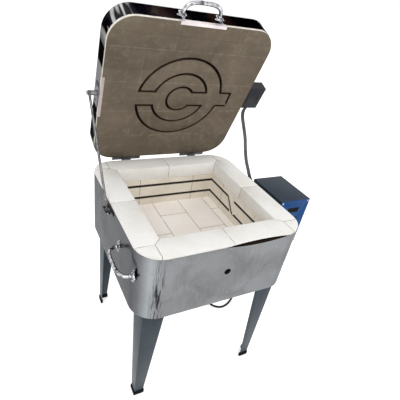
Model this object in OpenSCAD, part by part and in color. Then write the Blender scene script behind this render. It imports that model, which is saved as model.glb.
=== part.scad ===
// Top-loading kiln with a propped brick lid, on a four-leg stand.
// Millimetres, Z up, X to the right, Y to the rear. The floor is z = 0.
// Sizes inside the modules are measured from the kiln's own centre line,
// and framed() moves each finished piece so that the whole is centred.

/* [Kiln body] */
// Width and depth of the steel casing
body_w = 576; // [480:1:700]
// Outer radius of the casing's upright corners
corner_r = 80; // [50:1:110]
// Thickness of the casing sheet
sheet_t = 1; // [0.6:0.1:2]
// Height of the casing band
casing_h = 237; // [210:1:320]
// How far the top bricks stand above the casing
rim_proud = 10; // [4:1:25]
// Thickness of the brick wall
brick_wall = 80; // [60:1:110]
// Height of the top course of bricks
rim_course_h = 49; // [35:1:64]
// Height of the lower, grooved course of bricks
wall_course_h = 114; // [105:1:150]
// Length of a whole brick
brick_len = 228.6; // [200:0.1:240]
// Width of a floor brick
brick_wid = 114.3; // [90:0.1:130]
// Width of a mortar joint
mortar = 0.4; // [0.2:0.1:1]
// Thickness of the insulating board under the floor
board_t = 7; // [4:1:14]

/* [Element grooves] */
// Height of the element grooves in the wall
groove_h = 11; // [8:0.5:14]
// Depth of the element grooves in the wall
groove_d = 11; // [8:0.5:14]
// Distance of the upper groove below the brick top
groove_up = 77; // [70:1:85]
// Distance of the lower groove below the brick top
groove_low = 129; // [122:1:136]
// Outer diameter of the heating coil
coil_d = 7; // [4:0.5:7.5]
// Where the element enters on the right wall, from the centre line
lead_front_y = 17; // [10:1:30]
// Where the element leaves on the right wall, from the centre line
lead_rear_y = 44; // [42:1:50]
// Rear end of the slanting groove on the right wall
slant_rear_y = 68; // [60:1:90]
// Radius of the ceramic bushes round the element leads
bush_r = 4; // [3:0.5:5]

/* [Peephole and thermocouple] */
// Radius of the peephole in the front wall
peep_r = 11.5; // [6:0.5:15]
// Distance of the peephole below the brick top
peep_drop = 111; // [105:1:114]
// Radius of the thermocouple sheath
probe_r = 3; // [2:0.5:5]
// How far the sheath reaches into the chamber
probe_reach = 24; // [15:1:60]

/* [Stand] */
// Height of the underside of the casing above the floor
stand_h = 460; // [300:1:620]
// Width of a leg's flange at the top
leg_top_w = 80; // [60:1:100]
// Width of a leg's flange at the foot
leg_foot_w = 32; // [24:1:45]
// Thickness of the leg sheet
leg_t = 2.5; // [2:0.5:5]
// Distance of a leg's outer edge in from the casing's side
leg_inset = 30; // [26:1:50]
// Height of a rubber foot
foot_h = 20; // [12:1:35]
// Wall of a rubber foot
foot_wall = 3; // [2:0.5:6]
// Height of the stand's top frame
frame_h = 25; // [15:1:40]

/* [Lid] */
// Width of the lid
lid_w = 550; // [460:1:680]
// Depth of the lid, front to back
lid_d = 546; // [460:1:680]
// Thickness of the lid
lid_t = 62; // [45:1:90]
// Outer radius of the lid's corners
lid_corner_r = 78; // [50:1:110]
// Angle by which the lid stands open
lid_open = 67.4; // [30:0.1:85]
// Gap between the shut lid and the brick top
lid_gap = 2; // [1.5:0.1:4]
// Width of the element groove in the lid
lid_groove_w = 9; // [8.5:0.5:14]
// Depth of the element groove in the lid
lid_groove_d = 12; // [8:0.5:20]
// Radii of the three rings of the lid element
ring_radii = [154, 99, 48];
// Distance of a ring's crossing run from the lid element's centre line
ring_gap = 28; // [20:1:34]
// Length of the two feed runs beyond the centre
feed_x = 196; // [180:1:215]
// Thickness of the bright edge strips
strip_t = 1; // [0.8:0.1:1.4]
// Length of the bright edge strips
strip_l = 150; // [100:1:220]

/* [Hinges] */
// Distance of the hinge line behind the casing
hinge_back = 6; // [5.8:0.1:12]
// Distance of the hinge line below the brick top
hinge_drop = 12; // [8:1:16]
// Radius of the hinge pins
hinge_pin_r = 2.5; // [2:0.1:3.5]
// Radius of the hinge knuckles
knuckle_r = 5.5; // [4.5:0.1:5.5]
// Length of one hinge
hinge_l = 112; // [80:1:160]
// Distance of each hinge's middle from the centre line
hinge_x = 143; // [90:1:170]

/* [Handles] */
// Distance between the feet of the lid handle
lid_handle_span = 136; // [90:1:200]
// Distance between the feet of the side handle
side_handle_span = 152; // [90:1:170]
// How far a handle's bow stands out
handle_reach = 40; // [30:1:60]
// Diameter of a handle's bow
bow_d = 11; // [8:0.5:14]
// Middle of the side handle, from the centre line
side_handle_y = -166; // [-180:1:-150]
// Distance of the side handle below the brick top
side_handle_drop = 96; // [60:1:130]

/* [Stay] */
// Diameter of the stay rod
rod_d = 8; // [6:0.5:10]
// Distance of the rod's middle from the casing's side
rod_gap = 12; // [10:0.5:18]
// Distance of the stay guide below the brick top
guide_drop = 20; // [16:1:40]
// Height of the stay pivot above the lid's brick face
pivot_h = 26; // [18:1:40]
// Length of rod beyond the guide with the lid up
rod_tail = 17; // [17:1:60]
// Clearance round the rod in its guide
guide_clear = 2.5; // [1:0.1:6]
// Running clearance on the radius of the stay pivot and hinge pins
run_clear = 0.05; // [0.02:0.01:0.1]

/* [Control box] */
// Width of the control box
cbox_w = 138; // [110:1:180]
// Depth of the control box
cbox_d = 182; // [140:1:240]
// Height of the control box
cbox_h = 206; // [160:1:260]
// Air gap between the casing and the control box
cbox_gap = 20; // [12:1:35]
// Middle of the control box, from the centre line
cbox_y = -32; // [-60:1:0]
// Distance of the control box's top below the brick top
cbox_drop = 3; // [1:1:20]
// Sheet thickness of the control box
cbox_t = 1.5; // [1:0.1:3]
// Width of one key
key_w = 11; // [8:0.5:14]
// Distance between the middles of two keys
key_pitch = 18; // [15:0.5:24]
// Clearance round each key
key_clear = 0.4; // [0.2:0.1:1]
// Travel of a key
key_travel = 1; // [0.5:0.1:2]

/* [Junction box] */
// Width of the junction box on the lid
jbox_w = 70; // [50:1:90]
// Length of the junction box along the lid
jbox_l = 90; // [80:1:120]
// Height of the junction box
jbox_h = 38; // [34:1:48]
// Sheet thickness of the junction box
jbox_t = 1.5; // [1:0.1:2.5]

/* [Cords] */
// Diameter of the mains cord
cord_d = 10; // [8:0.5:11]
// Diameter of the lid's cable
flex_d = 10; // [8:0.5:11]

/* [Hidden] */
$fn = 64;

// Levels above the floor
casing_z = stand_h;
casing_top = casing_z + casing_h;
top_z = casing_top + rim_proud;
wall_top = top_z - rim_course_h;
hearth_z = wall_top - wall_course_h;
board_z = casing_z + sheet_t;
brick_z = board_z + board_t;
// Half widths from the centre line
half = body_w / 2;
lining_gap = 0.2;
brick_half = half - sheet_t - lining_gap;
chamber_half = brick_half - brick_wall;
brick_r = corner_r - sheet_t - lining_gap;
// Hinge line and lid frame
hinge_y = half + hinge_back;
hinge_z = top_z - hinge_drop;
lid_rear_y = half - 6.5;
lid_casing_h = lid_t - rim_proud;
lid_half = lid_w / 2;
// Stay: pivot and guide lie on one circle round the hinge line
guide_y = 0;
guide_z = top_z - guide_drop;
stay_circle = norm([hinge_y - guide_y, hinge_z - guide_z]);
pivot_rise = lid_gap + pivot_h + hinge_drop;
pivot_back = sqrt(pow(stay_circle, 2) - pow(pivot_rise, 2));
pivot_y = hinge_y - pivot_back;
pivot_open_y = hinge_y - pivot_back * cos(lid_open) + pivot_rise * sin(lid_open);
pivot_open_z = hinge_z + pivot_back * sin(lid_open) + pivot_rise * cos(lid_open);
stay_tilt = atan2(pivot_open_y - guide_y, pivot_open_z - guide_z);
rod_x = -half - rod_gap;
rod_eye_r = rod_d / 2 + 4;
rod_eye_t = rod_d;
stay_pin_r = 3;
// Control box faces
cbox_x = half + cbox_gap;
cbox_top = top_z - cbox_drop;
cbox_z = cbox_top - cbox_h;
cbox_front = cbox_y - cbox_d / 2;
cbox_rear = cbox_y + cbox_d / 2;
cbox_mid_x = cbox_x + cbox_w / 2;
panel_face = cbox_front;
// Depth of the lid's coil and leads
lid_coil_z = lid_groove_d - coil_d / 2 - 0.3;
// Junction box in the lid's own frame, centred on the lid element
ring_y = -lid_d / 2 - 8;
jbox_y = ring_y - 7.5;
jbox_mid_x = lid_half + jbox_w / 2;
// Side handle
side_handle_z = top_z - side_handle_drop;
// The whole object's box, measured without its cords
side_screw_h = 1.6;
left_reach = half + handle_reach + bow_d / 2;
right_reach = cbox_x + cbox_w + side_screw_h;
rear_reach = hinge_y + (lid_rear_y - hinge_y) * cos(lid_open) + (lid_gap + lid_t + hinge_drop) * sin(lid_open);
origin_x = (right_reach - left_reach) / 2;
origin_y = (rear_reach - half) / 2;
// Length of the glands and of the tapered relief on the mains cord
gland_l = 16;
relief_l = 34;
// Place of the junction box's gland, from the lid's side
junction_gland_x = 38;

steel = "#a9abad";
bright = "#d7d9db";
brick = "#ebe6da";
lid_brick = "#8a7d6c";
slate = "#4d5766";
leg_paint = "#56646e";
black = "#1d1d20";
ceramic = "#f2efe6";

module framed() {
    translate([-origin_x, -origin_y, 0]) children();
}

// The lid's own frame: rear lower edge at y = 0, brick face at z = 0, shut
module on_lid() {
    framed() translate([0, hinge_y, hinge_z]) rotate([-lid_open, 0, 0])
        translate([0, lid_rear_y - hinge_y, lid_gap + hinge_drop]) children();
}

// Flat plate with round corners, centred in X and Y
module round_plate(w, d, r, h) {
    linear_extrude(h) {
        square([w - 2 * r, d], center = true);
        square([w, d - 2 * r], center = true);
        for (sx = [-1, 1], sy = [-1, 1])
            translate([sx * (w / 2 - r), sy * (d / 2 - r)]) circle(r);
    }
}

module round_band(w, d, r, t, h) {
    difference() {
        round_plate(w, d, r, h);
        translate([0, 0, -1]) round_plate(w - 2 * t, d - 2 * t, r - t, h + 2);
    }
}

// Cylinder along X from x0 to x1
module rod_x(r, x0, x1) {
    translate([x0, 0, 0]) rotate([0, 90, 0]) cylinder(r = r, h = x1 - x0);
}

// Cylinder along Y from y0 to y1
module rod_y(r, y0, y1) {
    translate([0, y1, 0]) rotate([90, 0, 0]) cylinder(r = r, h = y1 - y0);
}

module four_ways() {
    for (a = [0 : 90 : 270]) rotate([0, 0, a]) children();
}

// Cross holes of the right wall: two element leads, and the thermocouple
lead_rear_z = top_z - groove_low;
lead_front_z = top_z - groove_up;
probe_y = -14;
probe_z = top_z - 106;

module right_wall_holes(x0, x1, clear) {
    translate([0, lead_front_y, lead_front_z]) rod_x(bush_r + clear, x0, x1);
    translate([0, lead_rear_y, lead_rear_z]) rod_x(bush_r + clear, x0, x1);
    translate([0, probe_y, probe_z]) rod_x(probe_r + clear, x0, x1);
}

// Kiln body

module casing_wrap() {
    color(steel) framed() difference() {
        translate([0, 0, casing_z]) round_band(body_w, body_w, corner_r, sheet_t, casing_h);
        translate([0, 0, top_z - peep_drop]) rod_y(peep_r, -half - 1, -half + sheet_t + 1);
        right_wall_holes(half - sheet_t - 1, half + 1, 1);
    }
}

// Cover strip over the casing's seam at the rear, with its screws
module casing_seam() {
    strip_z = casing_z + 4;
    color(steel) framed() {
        translate([-14, half, strip_z]) cube([28, sheet_t, casing_h - 8]);
        for (i = [0 : 3], sx = [-1, 1])
            translate([sx * 8, 0, strip_z + 25 + i * (casing_h - 58) / 3])
                rod_y(3, half + sheet_t, half + sheet_t + 1.8);
    }
}

module base_pan() {
    color(steel) framed() difference() {
        translate([0, 0, casing_z]) round_plate(2 * brick_half, 2 * brick_half, brick_r, sheet_t);
        stand_bolt_places() cylinder(r = 3.2, h = 6, center = true);
    }
}

module insulation_board() {
    color(ceramic) framed() difference() {
        translate([0, 0, board_z]) round_plate(2 * brick_half, 2 * brick_half, brick_r, board_t);
        stand_bolt_places() cylinder(r = 7, h = 40, center = true);
    }
}

// One brick of a slab: a box shortened by the mortar joint
module brick_cell(x0, x1, y0, y1) {
    m = mortar / 2;
    translate([x0 + m, y0 + m]) square([x1 - x0 - mortar, y1 - y0 - mortar]);
}

module hearth_bricks() {
    color(brick) framed() intersection() {
        translate([0, 0, brick_z]) round_plate(2 * brick_half, 2 * brick_half, brick_r, hearth_z - brick_z);
        translate([0, 0, brick_z - 1]) linear_extrude(hearth_z - brick_z + 2)
            for (i = [-2 : 2])
                for (j = [-2 : 2]) {
                    stagger = (abs(i) % 2 == 0) ? -brick_len / 2 : 0;
                    x0 = (i - 0.5) * brick_wid;
                    brick_cell(i == -2 ? -half : x0, i == 2 ? half : x0 + brick_wid,
                        stagger + j * brick_len, stagger + (j + 1) * brick_len);
                }
    }
}

// Wall bricks of one side, seen from above with the wall at negative Y.
// joints lists the places of the upright joints from the wall's middle.
module wall_side(joints) {
    m = mortar / 2;
    ends = concat([-brick_len], joints, [brick_len]);
    for (i = [0 : len(ends) - 2]) {
        x0 = ends[i] + m;
        x1 = ends[i + 1] - m;
        in0 = i == 0 ? -chamber_half + m : x0;
        in1 = i == len(ends) - 2 ? chamber_half - m : x1;
        polygon([[x0, -brick_half - 5], [x1, -brick_half - 5], [x1, -max(brick_len, chamber_half)],
            [in1, -chamber_half], [in0, -chamber_half], [x0, -max(brick_len, chamber_half)]]);
    }
}

// A whole course: four sides and four corner pieces
module brick_course(z, h, joints) {
    intersection() {
        translate([0, 0, z]) round_plate(2 * brick_half, 2 * brick_half, brick_r, h);
        translate([0, 0, z - 1]) linear_extrude(h + 2) four_ways() {
            wall_side(joints);
            translate([-brick_half - 5, -brick_half - 5])
                square(brick_half + 5 - brick_len - mortar / 2);
        }
    }
}

// Groove round the chamber, cut from wall to wall and left whole between two
// places on the right wall
module wall_groove(z, y_front, y_rear) {
    reach = chamber_half + groove_d;
    translate([0, 0, z - groove_h / 2]) difference() {
        translate([-reach, -reach, 0]) cube([2 * reach, 2 * reach, groove_h]);
        translate([chamber_half - 1, y_front, -1]) cube([groove_d + 2, y_rear - y_front, groove_h + 2]);
    }
}

// Slanting groove that joins the two levels on the right wall
slant_top = [slant_rear_y, lead_front_z];
slant_foot = [lead_front_y + 6, lead_rear_z];
slant_len = norm(slant_top - slant_foot);
slant_angle = atan2(slant_top[1] - slant_foot[1], slant_top[0] - slant_foot[0]);

module slant_groove() {
    translate([chamber_half - 1, slant_foot[0], slant_foot[1]]) rotate([slant_angle, 0, 0])
        translate([0, 0, -groove_h / 2]) cube([groove_d + 1, slant_len, groove_h]);
}

module wall_bricks() {
    color(brick) framed() difference() {
        brick_course(hearth_z, wall_course_h, [-brick_wid, brick_wid]);
        wall_groove(lead_front_z, lead_front_y + 6, slant_top[0] - 2);
        wall_groove(lead_rear_z, slant_foot[0] + 2, lead_rear_y - 6);
        slant_groove();
        right_wall_holes(chamber_half - 1, half, 0.3);
        translate([0, 0, top_z - peep_drop]) rod_y(peep_r, -half - 1, -chamber_half + 1);
    }
}

module rim_bricks() {
    color(brick) framed() brick_course(wall_top, rim_course_h, [0]);
}

// Heating coil, drawn as its outer shape. It lies against the groove's back.
coil_at = chamber_half + groove_d - coil_d / 2 - 0.3;
coil_bend = 14;

// One turn round the chamber, left open between two places on the right wall
module coil_turn(y_front, y_rear) {
    w = 2 * coil_at + coil_d;
    translate([0, 0, -coil_d / 2]) difference() {
        round_band(w, w, coil_bend + coil_d / 2, coil_d, coil_d);
        translate([coil_at - coil_d, y_front, -1]) cube([2 * coil_d, y_rear - y_front, coil_d + 2]);
    }
}

module wall_element() {
    color("#5b4c40") framed() {
        translate([0, 0, lead_front_z]) coil_turn(lead_front_y + coil_d / 2, slant_top[0] - 1.7);
        translate([0, 0, lead_rear_z]) coil_turn(slant_foot[0] + 1.7, lead_rear_y - coil_d / 2);
        translate([coil_at - coil_d / 2, slant_foot[0], slant_foot[1]]) rotate([slant_angle, 0, 0])
            translate([0, 0, -coil_d / 2]) cube([coil_d, slant_len, coil_d]);
        for (p = [[lead_front_y, lead_front_z], [lead_rear_y, lead_rear_z]])
            translate([coil_at, p[0], p[1]]) rod_x(1.6, 0, cbox_x - coil_at + 22);
    }
}

// Ceramic tubes that line the leads' holes through brick, casing and box
module element_bushes() {
    color(ceramic) framed()
        for (p = [[lead_front_y, lead_front_z], [lead_rear_y, lead_rear_z]])
            translate([0, p[0], p[1]]) difference() {
                union() {
                    rod_x(bush_r, chamber_half + groove_d + 0.3, cbox_x + cbox_t + 6);
                    rod_x(bush_r + 2.5, cbox_x + cbox_t, cbox_x + cbox_t + 3);
                }
                rod_x(1.9, chamber_half, cbox_x + 20);
            }
}

// Brass clamps on the lead ends inside the control box
module element_terminals() {
    color("#c9a45c") framed()
        for (p = [[lead_front_y, lead_front_z], [lead_rear_y, lead_rear_z]])
            translate([cbox_x + cbox_t + 7, p[0], p[1]]) difference() {
                union() {
                    rod_x(5, 0, 12);
                    translate([6, 0, 0]) cylinder(r = 2.2, h = 8);
                }
                rod_x(1.65, -1, 15);
            }
}

module thermocouple() {
    tip_x = chamber_half - probe_reach;
    color(ceramic) framed() translate([0, probe_y, probe_z]) {
        rod_x(probe_r, tip_x + probe_r, cbox_x + cbox_t + 8);
        translate([tip_x + probe_r, 0, 0]) sphere(probe_r);
    }
}

module thermocouple_block() {
    x0 = cbox_x + cbox_t;
    color("#e8e0c8") framed() difference() {
        translate([x0, probe_y - 14, probe_z - 9]) cube([16, 28, 18]);
        translate([0, probe_y, probe_z]) rod_x(probe_r + 0.1, x0 - 1, x0 + 8.2);
        for (s = [-1, 1]) translate([x0 + 11, probe_y + s * 8, probe_z + 5]) cylinder(r = 2, h = 6);
    }
}

// Stand

leg_at = half - leg_inset;
bolt_in = leg_at - 14;
frame_in = leg_at - leg_t;
frame_z = casing_z - frame_h;

module stand_bolt_places() {
    for (sx = [-1, 1], sy = [-1, 1], k = [0, 1])
        translate([sx * (k == 0 ? bolt_in : bolt_in - 38), sy * (k == 0 ? bolt_in - 38 : bolt_in), casing_z])
            children();
}

// Angle frame under the pan that the four legs bolt to
module stand_frame() {
    bar = 2.5;
    out = 2 * frame_in - 0.2;
    color(leg_paint) framed() difference() {
        translate([-out / 2, -out / 2, frame_z]) cube([out, out, frame_h]);
        translate([-out / 2 + bar, -out / 2 + bar, frame_z - 1])
            cube([out - 2 * bar, out - 2 * bar, frame_h + 1 - bar]);
        translate([-out / 2 + 62, -out / 2 + 62, frame_z - 1]) cube([out - 124, out - 124, frame_h + 2]);
        stand_bolt_places() cylinder(r = 3.2, h = 8, center = true);
        for (a = [0 : 90 : 270]) rotate([0, 0, a])
            translate([0, 0, frame_z + frame_h / 2]) for (s = [-1, 1])
                translate([s * (leg_at - 50), 0, 0]) rod_y(3.1, -leg_at - 1, -leg_at + 9);
    }
}

// A leg: two tapered flanges that meet in an upright outer edge
module leg(sx, sy) {
    h = stand_h - 2;
    profile = [[0, 2], [leg_foot_w, 2], [leg_top_w, h], [0, h]];
    color(leg_paint) framed() mirror([sx > 0 ? 1 : 0, 0, 0]) mirror([0, sy > 0 ? 1 : 0, 0])
        translate([-leg_at, -leg_at, 0]) difference() {
            union() {
                translate([0, leg_t, 0]) rotate([90, 0, 0]) linear_extrude(leg_t) polygon(profile);
                rotate([90, 0, 90]) linear_extrude(leg_t) polygon(profile);
            }
            translate([50, 0, frame_z + frame_h / 2]) rod_y(3.1, -1, leg_t + 1);
            translate([0, 50, frame_z + frame_h / 2]) rod_x(3.1, -1, leg_t + 1);
        }
}

module leg_front_left() { leg(-1, -1); }
module leg_front_right() { leg(1, -1); }
module leg_rear_left() { leg(-1, 1); }
module leg_rear_right() { leg(1, 1); }

// Rubber shoes pushed over the ends of the legs
module rubber_feet() {
    grip = 0.2;
    size = leg_foot_w + foot_wall + 2;
    color(black) framed() for (sx = [-1, 1], sy = [-1, 1])
        mirror([sx > 0 ? 1 : 0, 0, 0]) mirror([0, sy > 0 ? 1 : 0, 0])
            translate([-leg_at, -leg_at, 0]) difference() {
                linear_extrude(foot_h) polygon([[-foot_wall, -foot_wall], [size, -foot_wall],
                    [size, leg_t + foot_wall], [leg_t + foot_wall, leg_t + foot_wall],
                    [leg_t + foot_wall, size], [-foot_wall, size]]);
                translate([0, 0, 2]) linear_extrude(foot_h) polygon([[-grip, -grip],
                    [size - foot_wall + 1, -grip], [size - foot_wall + 1, leg_t + grip],
                    [leg_t + grip, leg_t + grip], [leg_t + grip, size - foot_wall + 1],
                    [-grip, size - foot_wall + 1]]);
            }
}

// Bolts: frame to pan, and legs to frame
module stand_bolts() {
    color(bright) framed() {
        stand_bolt_places() {
            translate([0, 0, -2.5 - 4.5]) cylinder(r = 5, h = 4.5);
            translate([0, 0, -2.5 - 4.5]) cylinder(r = 3, h = 4.5 + 2.5 + sheet_t + 6);
            translate([0, 0, sheet_t]) cylinder(r = 5.5, h = 5, $fn = 6);
        }
        for (a = [0 : 90 : 270]) rotate([0, 0, a]) for (s = [-1, 1])
            translate([s * (leg_at - 50), 0, frame_z + frame_h / 2]) {
                rod_y(3, -leg_at - 1, -leg_at + leg_t + 8);
                translate([0, -leg_at, 0]) rod_y(5, -3.2, 0);
                translate([0, -leg_at + leg_t + 2.6, 0]) rod_y(5, 0, 4.5);
            }
    }
}

// Handles

// A cast handle in its own frame: feet on the plane y = 0, bow towards -Y
module handle_bow(span) {
    bend = 22;
    out = handle_reach - bend;
    in = span / 2 - 8;
    r = bow_d / 2;
    rod_x_len = in - bend;
    translate([0, -handle_reach, 0]) rod_x(r, -rod_x_len, rod_x_len);
    for (s = [0, 1]) mirror([s, 0, 0]) {
        translate([rod_x_len, -out, 0]) rotate([0, 0, -90]) rotate_extrude(angle = 90)
            translate([bend, 0]) circle(r);
        translate([in, 0, 0]) rod_y(r, -out, -7);
    }
}

module handle_feet(span, sink) {
    at = span / 2;
    for (s = [0, 1]) mirror([s, 0, 0]) difference() {
        union() {
            translate([at - 8, 0, 0]) rod_y(9, -7, sink);
            translate([at + 6, 0, 0]) rod_y(7, -4, sink);
            translate([at + 16, 0, 0]) rod_y(4, -3, sink);
            translate([at - 8, -4, -6]) cube([24, 4 + sink, 12]);
        }
        translate([at + 6, 0, 0]) rod_y(2.2, -5, -1.5);
    }
}

// Puts a handle on the casing's left side
module at_side_handle() {
    framed() translate([-half, side_handle_y, side_handle_z]) rotate([0, 0, -90]) children();
}

module side_handle_bow() {
    color(bright) at_side_handle() handle_bow(side_handle_span);
}

module side_handle_feet() {
    color(bright) difference() {
        at_side_handle() handle_feet(side_handle_span, 12);
        framed() translate([0, 0, casing_z]) round_plate(body_w, body_w, corner_r, casing_h);
    }
}

module lid_handle_bow() {
    color(bright) on_lid() translate([0, -lid_d, lid_t / 2]) handle_bow(lid_handle_span);
}

module lid_handle_feet() {
    color(bright) on_lid() translate([0, -lid_d, lid_t / 2]) handle_feet(lid_handle_span, 0);
}

// Stay

// Black loop on the casing's left side that the rod runs through
guide_half = rod_d / 2 + guide_clear;
guide_t = 5;
guide_loop = guide_half * 2 + 20;

module stay_guide() {
    reach = rod_gap + guide_half + 4;
    color(black) framed() translate([-half, guide_y, guide_z]) {
        difference() {
            translate([-reach, -guide_loop / 2, -guide_t / 2]) cube([reach, guide_loop, guide_t]);
            translate([-rod_gap - guide_half, -guide_half - 5, -10]) cube([2 * guide_half, 2 * guide_half + 10, 20]);
        }
        difference() {
            translate([-2, -32, -9]) cube([2, 64, 18]);
            for (s = [-1, 1]) translate([0, s * 24, 0]) rod_x(2.2, -3, 1);
        }
        for (s = [-1, 1]) translate([0, s * 24, 0]) {
            rod_x(2.1, -2, 0);
            rod_x(4, -4, -2);
        }
    }
}

// The rod in the plane of its pivot: eye at the origin, straight down
rod_len = norm([pivot_open_y - guide_y, pivot_open_z - guide_z]) + rod_tail;
rod_stop_r = guide_half + 2.5;
rod_stop_t = 5;

module stay_rod() {
    color(bright) framed() translate([rod_x, pivot_open_y, pivot_open_z]) rotate([-stay_tilt, 0, 0]) {
        difference() {
            union() {
                rod_x(rod_eye_r, -rod_eye_t / 2, rod_eye_t / 2);
                translate([0, 0, -rod_len]) cylinder(d = rod_d, h = rod_len - rod_eye_r + 2);
                translate([0, 0, -rod_len]) cylinder(r = rod_stop_r, h = rod_stop_t);
            }
            rod_x(stay_pin_r + run_clear, -rod_eye_t, rod_eye_t);
        }
    }
}

// Plate, boss and shoulder pin on the lid's left side
module stay_bracket() {
    y = pivot_y - lid_rear_y;
    z = pivot_h;
    eye_x = rod_x + rod_eye_t / 2 + 0.3;
    head_x = rod_x - rod_eye_t / 2 - 0.3;
    color(bright) on_lid() {
        difference() {
            translate([-lid_half - 3, y - 30, z - 15]) cube([3, 75, 36]);
            for (s = [-22, 36]) translate([0, y + s, z + 12]) rod_x(2.6, -lid_half - 4, -lid_half + 1);
        }
        for (s = [-22, 36]) translate([0, y + s, z + 12]) {
            rod_x(2.5, -lid_half - 3, -lid_half);
            rod_x(4.5, -lid_half - 5.5, -lid_half - 3);
        }
        translate([0, y, z]) {
            rod_x(8, eye_x, -lid_half - 3);
            rod_x(stay_pin_r, head_x - 1, eye_x);
            rod_x(6, head_x - 4, head_x);
        }
    }
}

// Hinges

seg = (hinge_l - 2) / 3;

module hinge_places() {
    for (s = [-1, 1]) translate([s * hinge_x, 0, 0]) children();
}

// Leaf plates on the casing with the two outer knuckles
module body_hinge_leaves() {
    plate_h = 46;
    color(steel) framed() hinge_places() difference() {
        union() {
            translate([-hinge_l / 2, half, hinge_z - plate_h]) cube([hinge_l, 2, plate_h - knuckle_r - 1]);
            for (s = [-1, 1]) translate([s * (seg + 1), 0, 0]) {
                translate([-seg / 2, half, hinge_z - knuckle_r - 2]) cube([seg, 2, knuckle_r + 2]);
                translate([0, hinge_y, hinge_z]) rod_x(knuckle_r, -seg / 2, seg / 2);
            }
        }
        translate([0, hinge_y, hinge_z]) rod_x(hinge_pin_r + run_clear, -hinge_l, hinge_l);
        for (s = [-1, 1]) translate([s * 36, 0, hinge_z - 30]) rod_y(2.3, half - 1, half + 3);
    }
}

module hinge_pins() {
    color(bright) framed() hinge_places() translate([0, hinge_y, hinge_z]) {
        rod_x(hinge_pin_r, -hinge_l / 2 - 1, hinge_l / 2 + 1);
        for (s = [-1, 1]) translate([s * (hinge_l / 2 + 1.5), 0, 0]) rod_x(hinge_pin_r + 1, -1, 1);
    }
}

module hinge_screws() {
    color(bright) framed() hinge_places()
        for (s = [-1, 1]) translate([s * 36, 0, hinge_z - 30]) {
            rod_y(2.2, half, half + 2);
            rod_y(4, half + 2, half + 4);
        }
}

// Leaf plates on the lid, stepped out to the middle knuckle
module lid_hinge_leaves() {
    out = hinge_y - lid_rear_y;
    down = -lid_gap - hinge_drop;
    color(steel) on_lid() hinge_places() difference() {
        union() {
            translate([-hinge_l / 2, 0, 1.5]) cube([hinge_l, 2, 46]);
            translate([-hinge_l / 2, 0, 0]) cube([hinge_l, out + 1, 2]);
            translate([-seg / 2, out - 1, down + knuckle_r - 2]) cube([seg, 2, 2 - down - knuckle_r + 2]);
            translate([0, out, down]) rod_x(knuckle_r, -seg / 2, seg / 2);
            for (s = [-1, 1]) translate([s * 36, 0, 32]) rod_y(4, 2, 4);
        }
        translate([0, out, down]) rod_x(hinge_pin_r + run_clear, -seg, seg);
    }
}

// Lid

module lid_casing() {
    y = -lid_d / 2;
    color(steel) on_lid() difference() {
        translate([0, y, rim_proud]) round_plate(lid_w, lid_d, lid_corner_r, lid_casing_h);
        translate([0, y, rim_proud - 1])
            round_plate(lid_w - 2 * sheet_t, lid_d - 2 * sheet_t, lid_corner_r - sheet_t, lid_casing_h + 1 - sheet_t);
        lid_lead_holes(lid_half - 3, lid_half + 1, bush_r + 0.3);
    }
}

module lid_lead_holes(x0, x1, r) {
    for (s = [-1, 1]) translate([0, ring_y + s * ring_gap, lid_coil_z]) rod_x(r, x0, x1);
}

// The groove's outline from above: three broken rings and their crossings
module ring_outline(w) {
    for (r = ring_radii) difference() {
        circle(r + w / 2, $fn = 120);
        circle(r - w / 2, $fn = 120);
        wide = r > ring_radii[2] ? r + w : 0;
        translate([-wide, -ring_gap]) square([wide + r + w, 2 * ring_gap]);
    }
    for (s = [-1, 1]) {
        cross_run(s, w, ring_radii[0], feed_x);
        cross_run(s, w, ring_at(2), ring_at(1));
        cross_run(s, w, -ring_at(0), -ring_at(1));
    }
}

// Where a ring meets the crossing line
function ring_at(i) = sqrt(pow(ring_radii[i], 2) - pow(ring_gap, 2));

module cross_run(s, w, x0, x1) {
    a = min(x0, x1) - w / 2;
    b = max(x0, x1) + w / 2;
    translate([a, s * ring_gap - w / 2]) square([b - a, w]);
}

module lid_brick_rows() {
    for (j = [-3 : 2])
        for (i = [-2 : 2]) {
            x0 = (i - 0.5) * brick_len + (abs(j) % 2 == 0 ? -43 : 43);
            brick_cell(x0, x0 + brick_len, j * brick_wid, (j + 1) * brick_wid);
        }
}

module lid_bricks() {
    t = lid_t - sheet_t;
    inset = sheet_t + lining_gap;
    color(lid_brick) on_lid() difference() {
        intersection() {
            translate([0, -lid_d / 2, 0])
                round_plate(lid_w - 2 * inset, lid_d - 2 * inset, lid_corner_r - inset, t);
            translate([0, -lid_d / 2, -1]) linear_extrude(t + 2) lid_brick_rows();
        }
        translate([0, ring_y, -1]) linear_extrude(lid_groove_d + 1) ring_outline(lid_groove_w);
        translate([feed_x - lid_groove_w / 2, ring_y - ring_gap, -1])
            cube([lid_groove_w, 2 * ring_gap, lid_groove_d + 1]);
        lid_lead_holes(feed_x, lid_half + 1, bush_r + 0.3);
    }
}

// Heating coil of the lid, drawn as its outer shape
module lid_element() {
    color("#5b4c40") on_lid() translate([0, ring_y, 0]) {
        translate([0, 0, lid_coil_z - coil_d / 2]) linear_extrude(coil_d) ring_outline(coil_d);
        for (s = [-1, 1]) translate([0, s * ring_gap, lid_coil_z]) rod_x(1.6, feed_x, lid_half + 24);
    }
}

module lid_bushes() {
    color(ceramic) on_lid() difference() {
        union() {
            lid_lead_holes(feed_x + lid_groove_w / 2 + 0.3, lid_half + jbox_t + 6, bush_r);
            lid_lead_holes(lid_half + jbox_t, lid_half + jbox_t + 3, bush_r + 1);
        }
        for (s = [-1, 1]) translate([0, ring_y + s * ring_gap, lid_coil_z]) rod_x(1.9, 0, lid_half + 40);
    }
}

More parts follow.
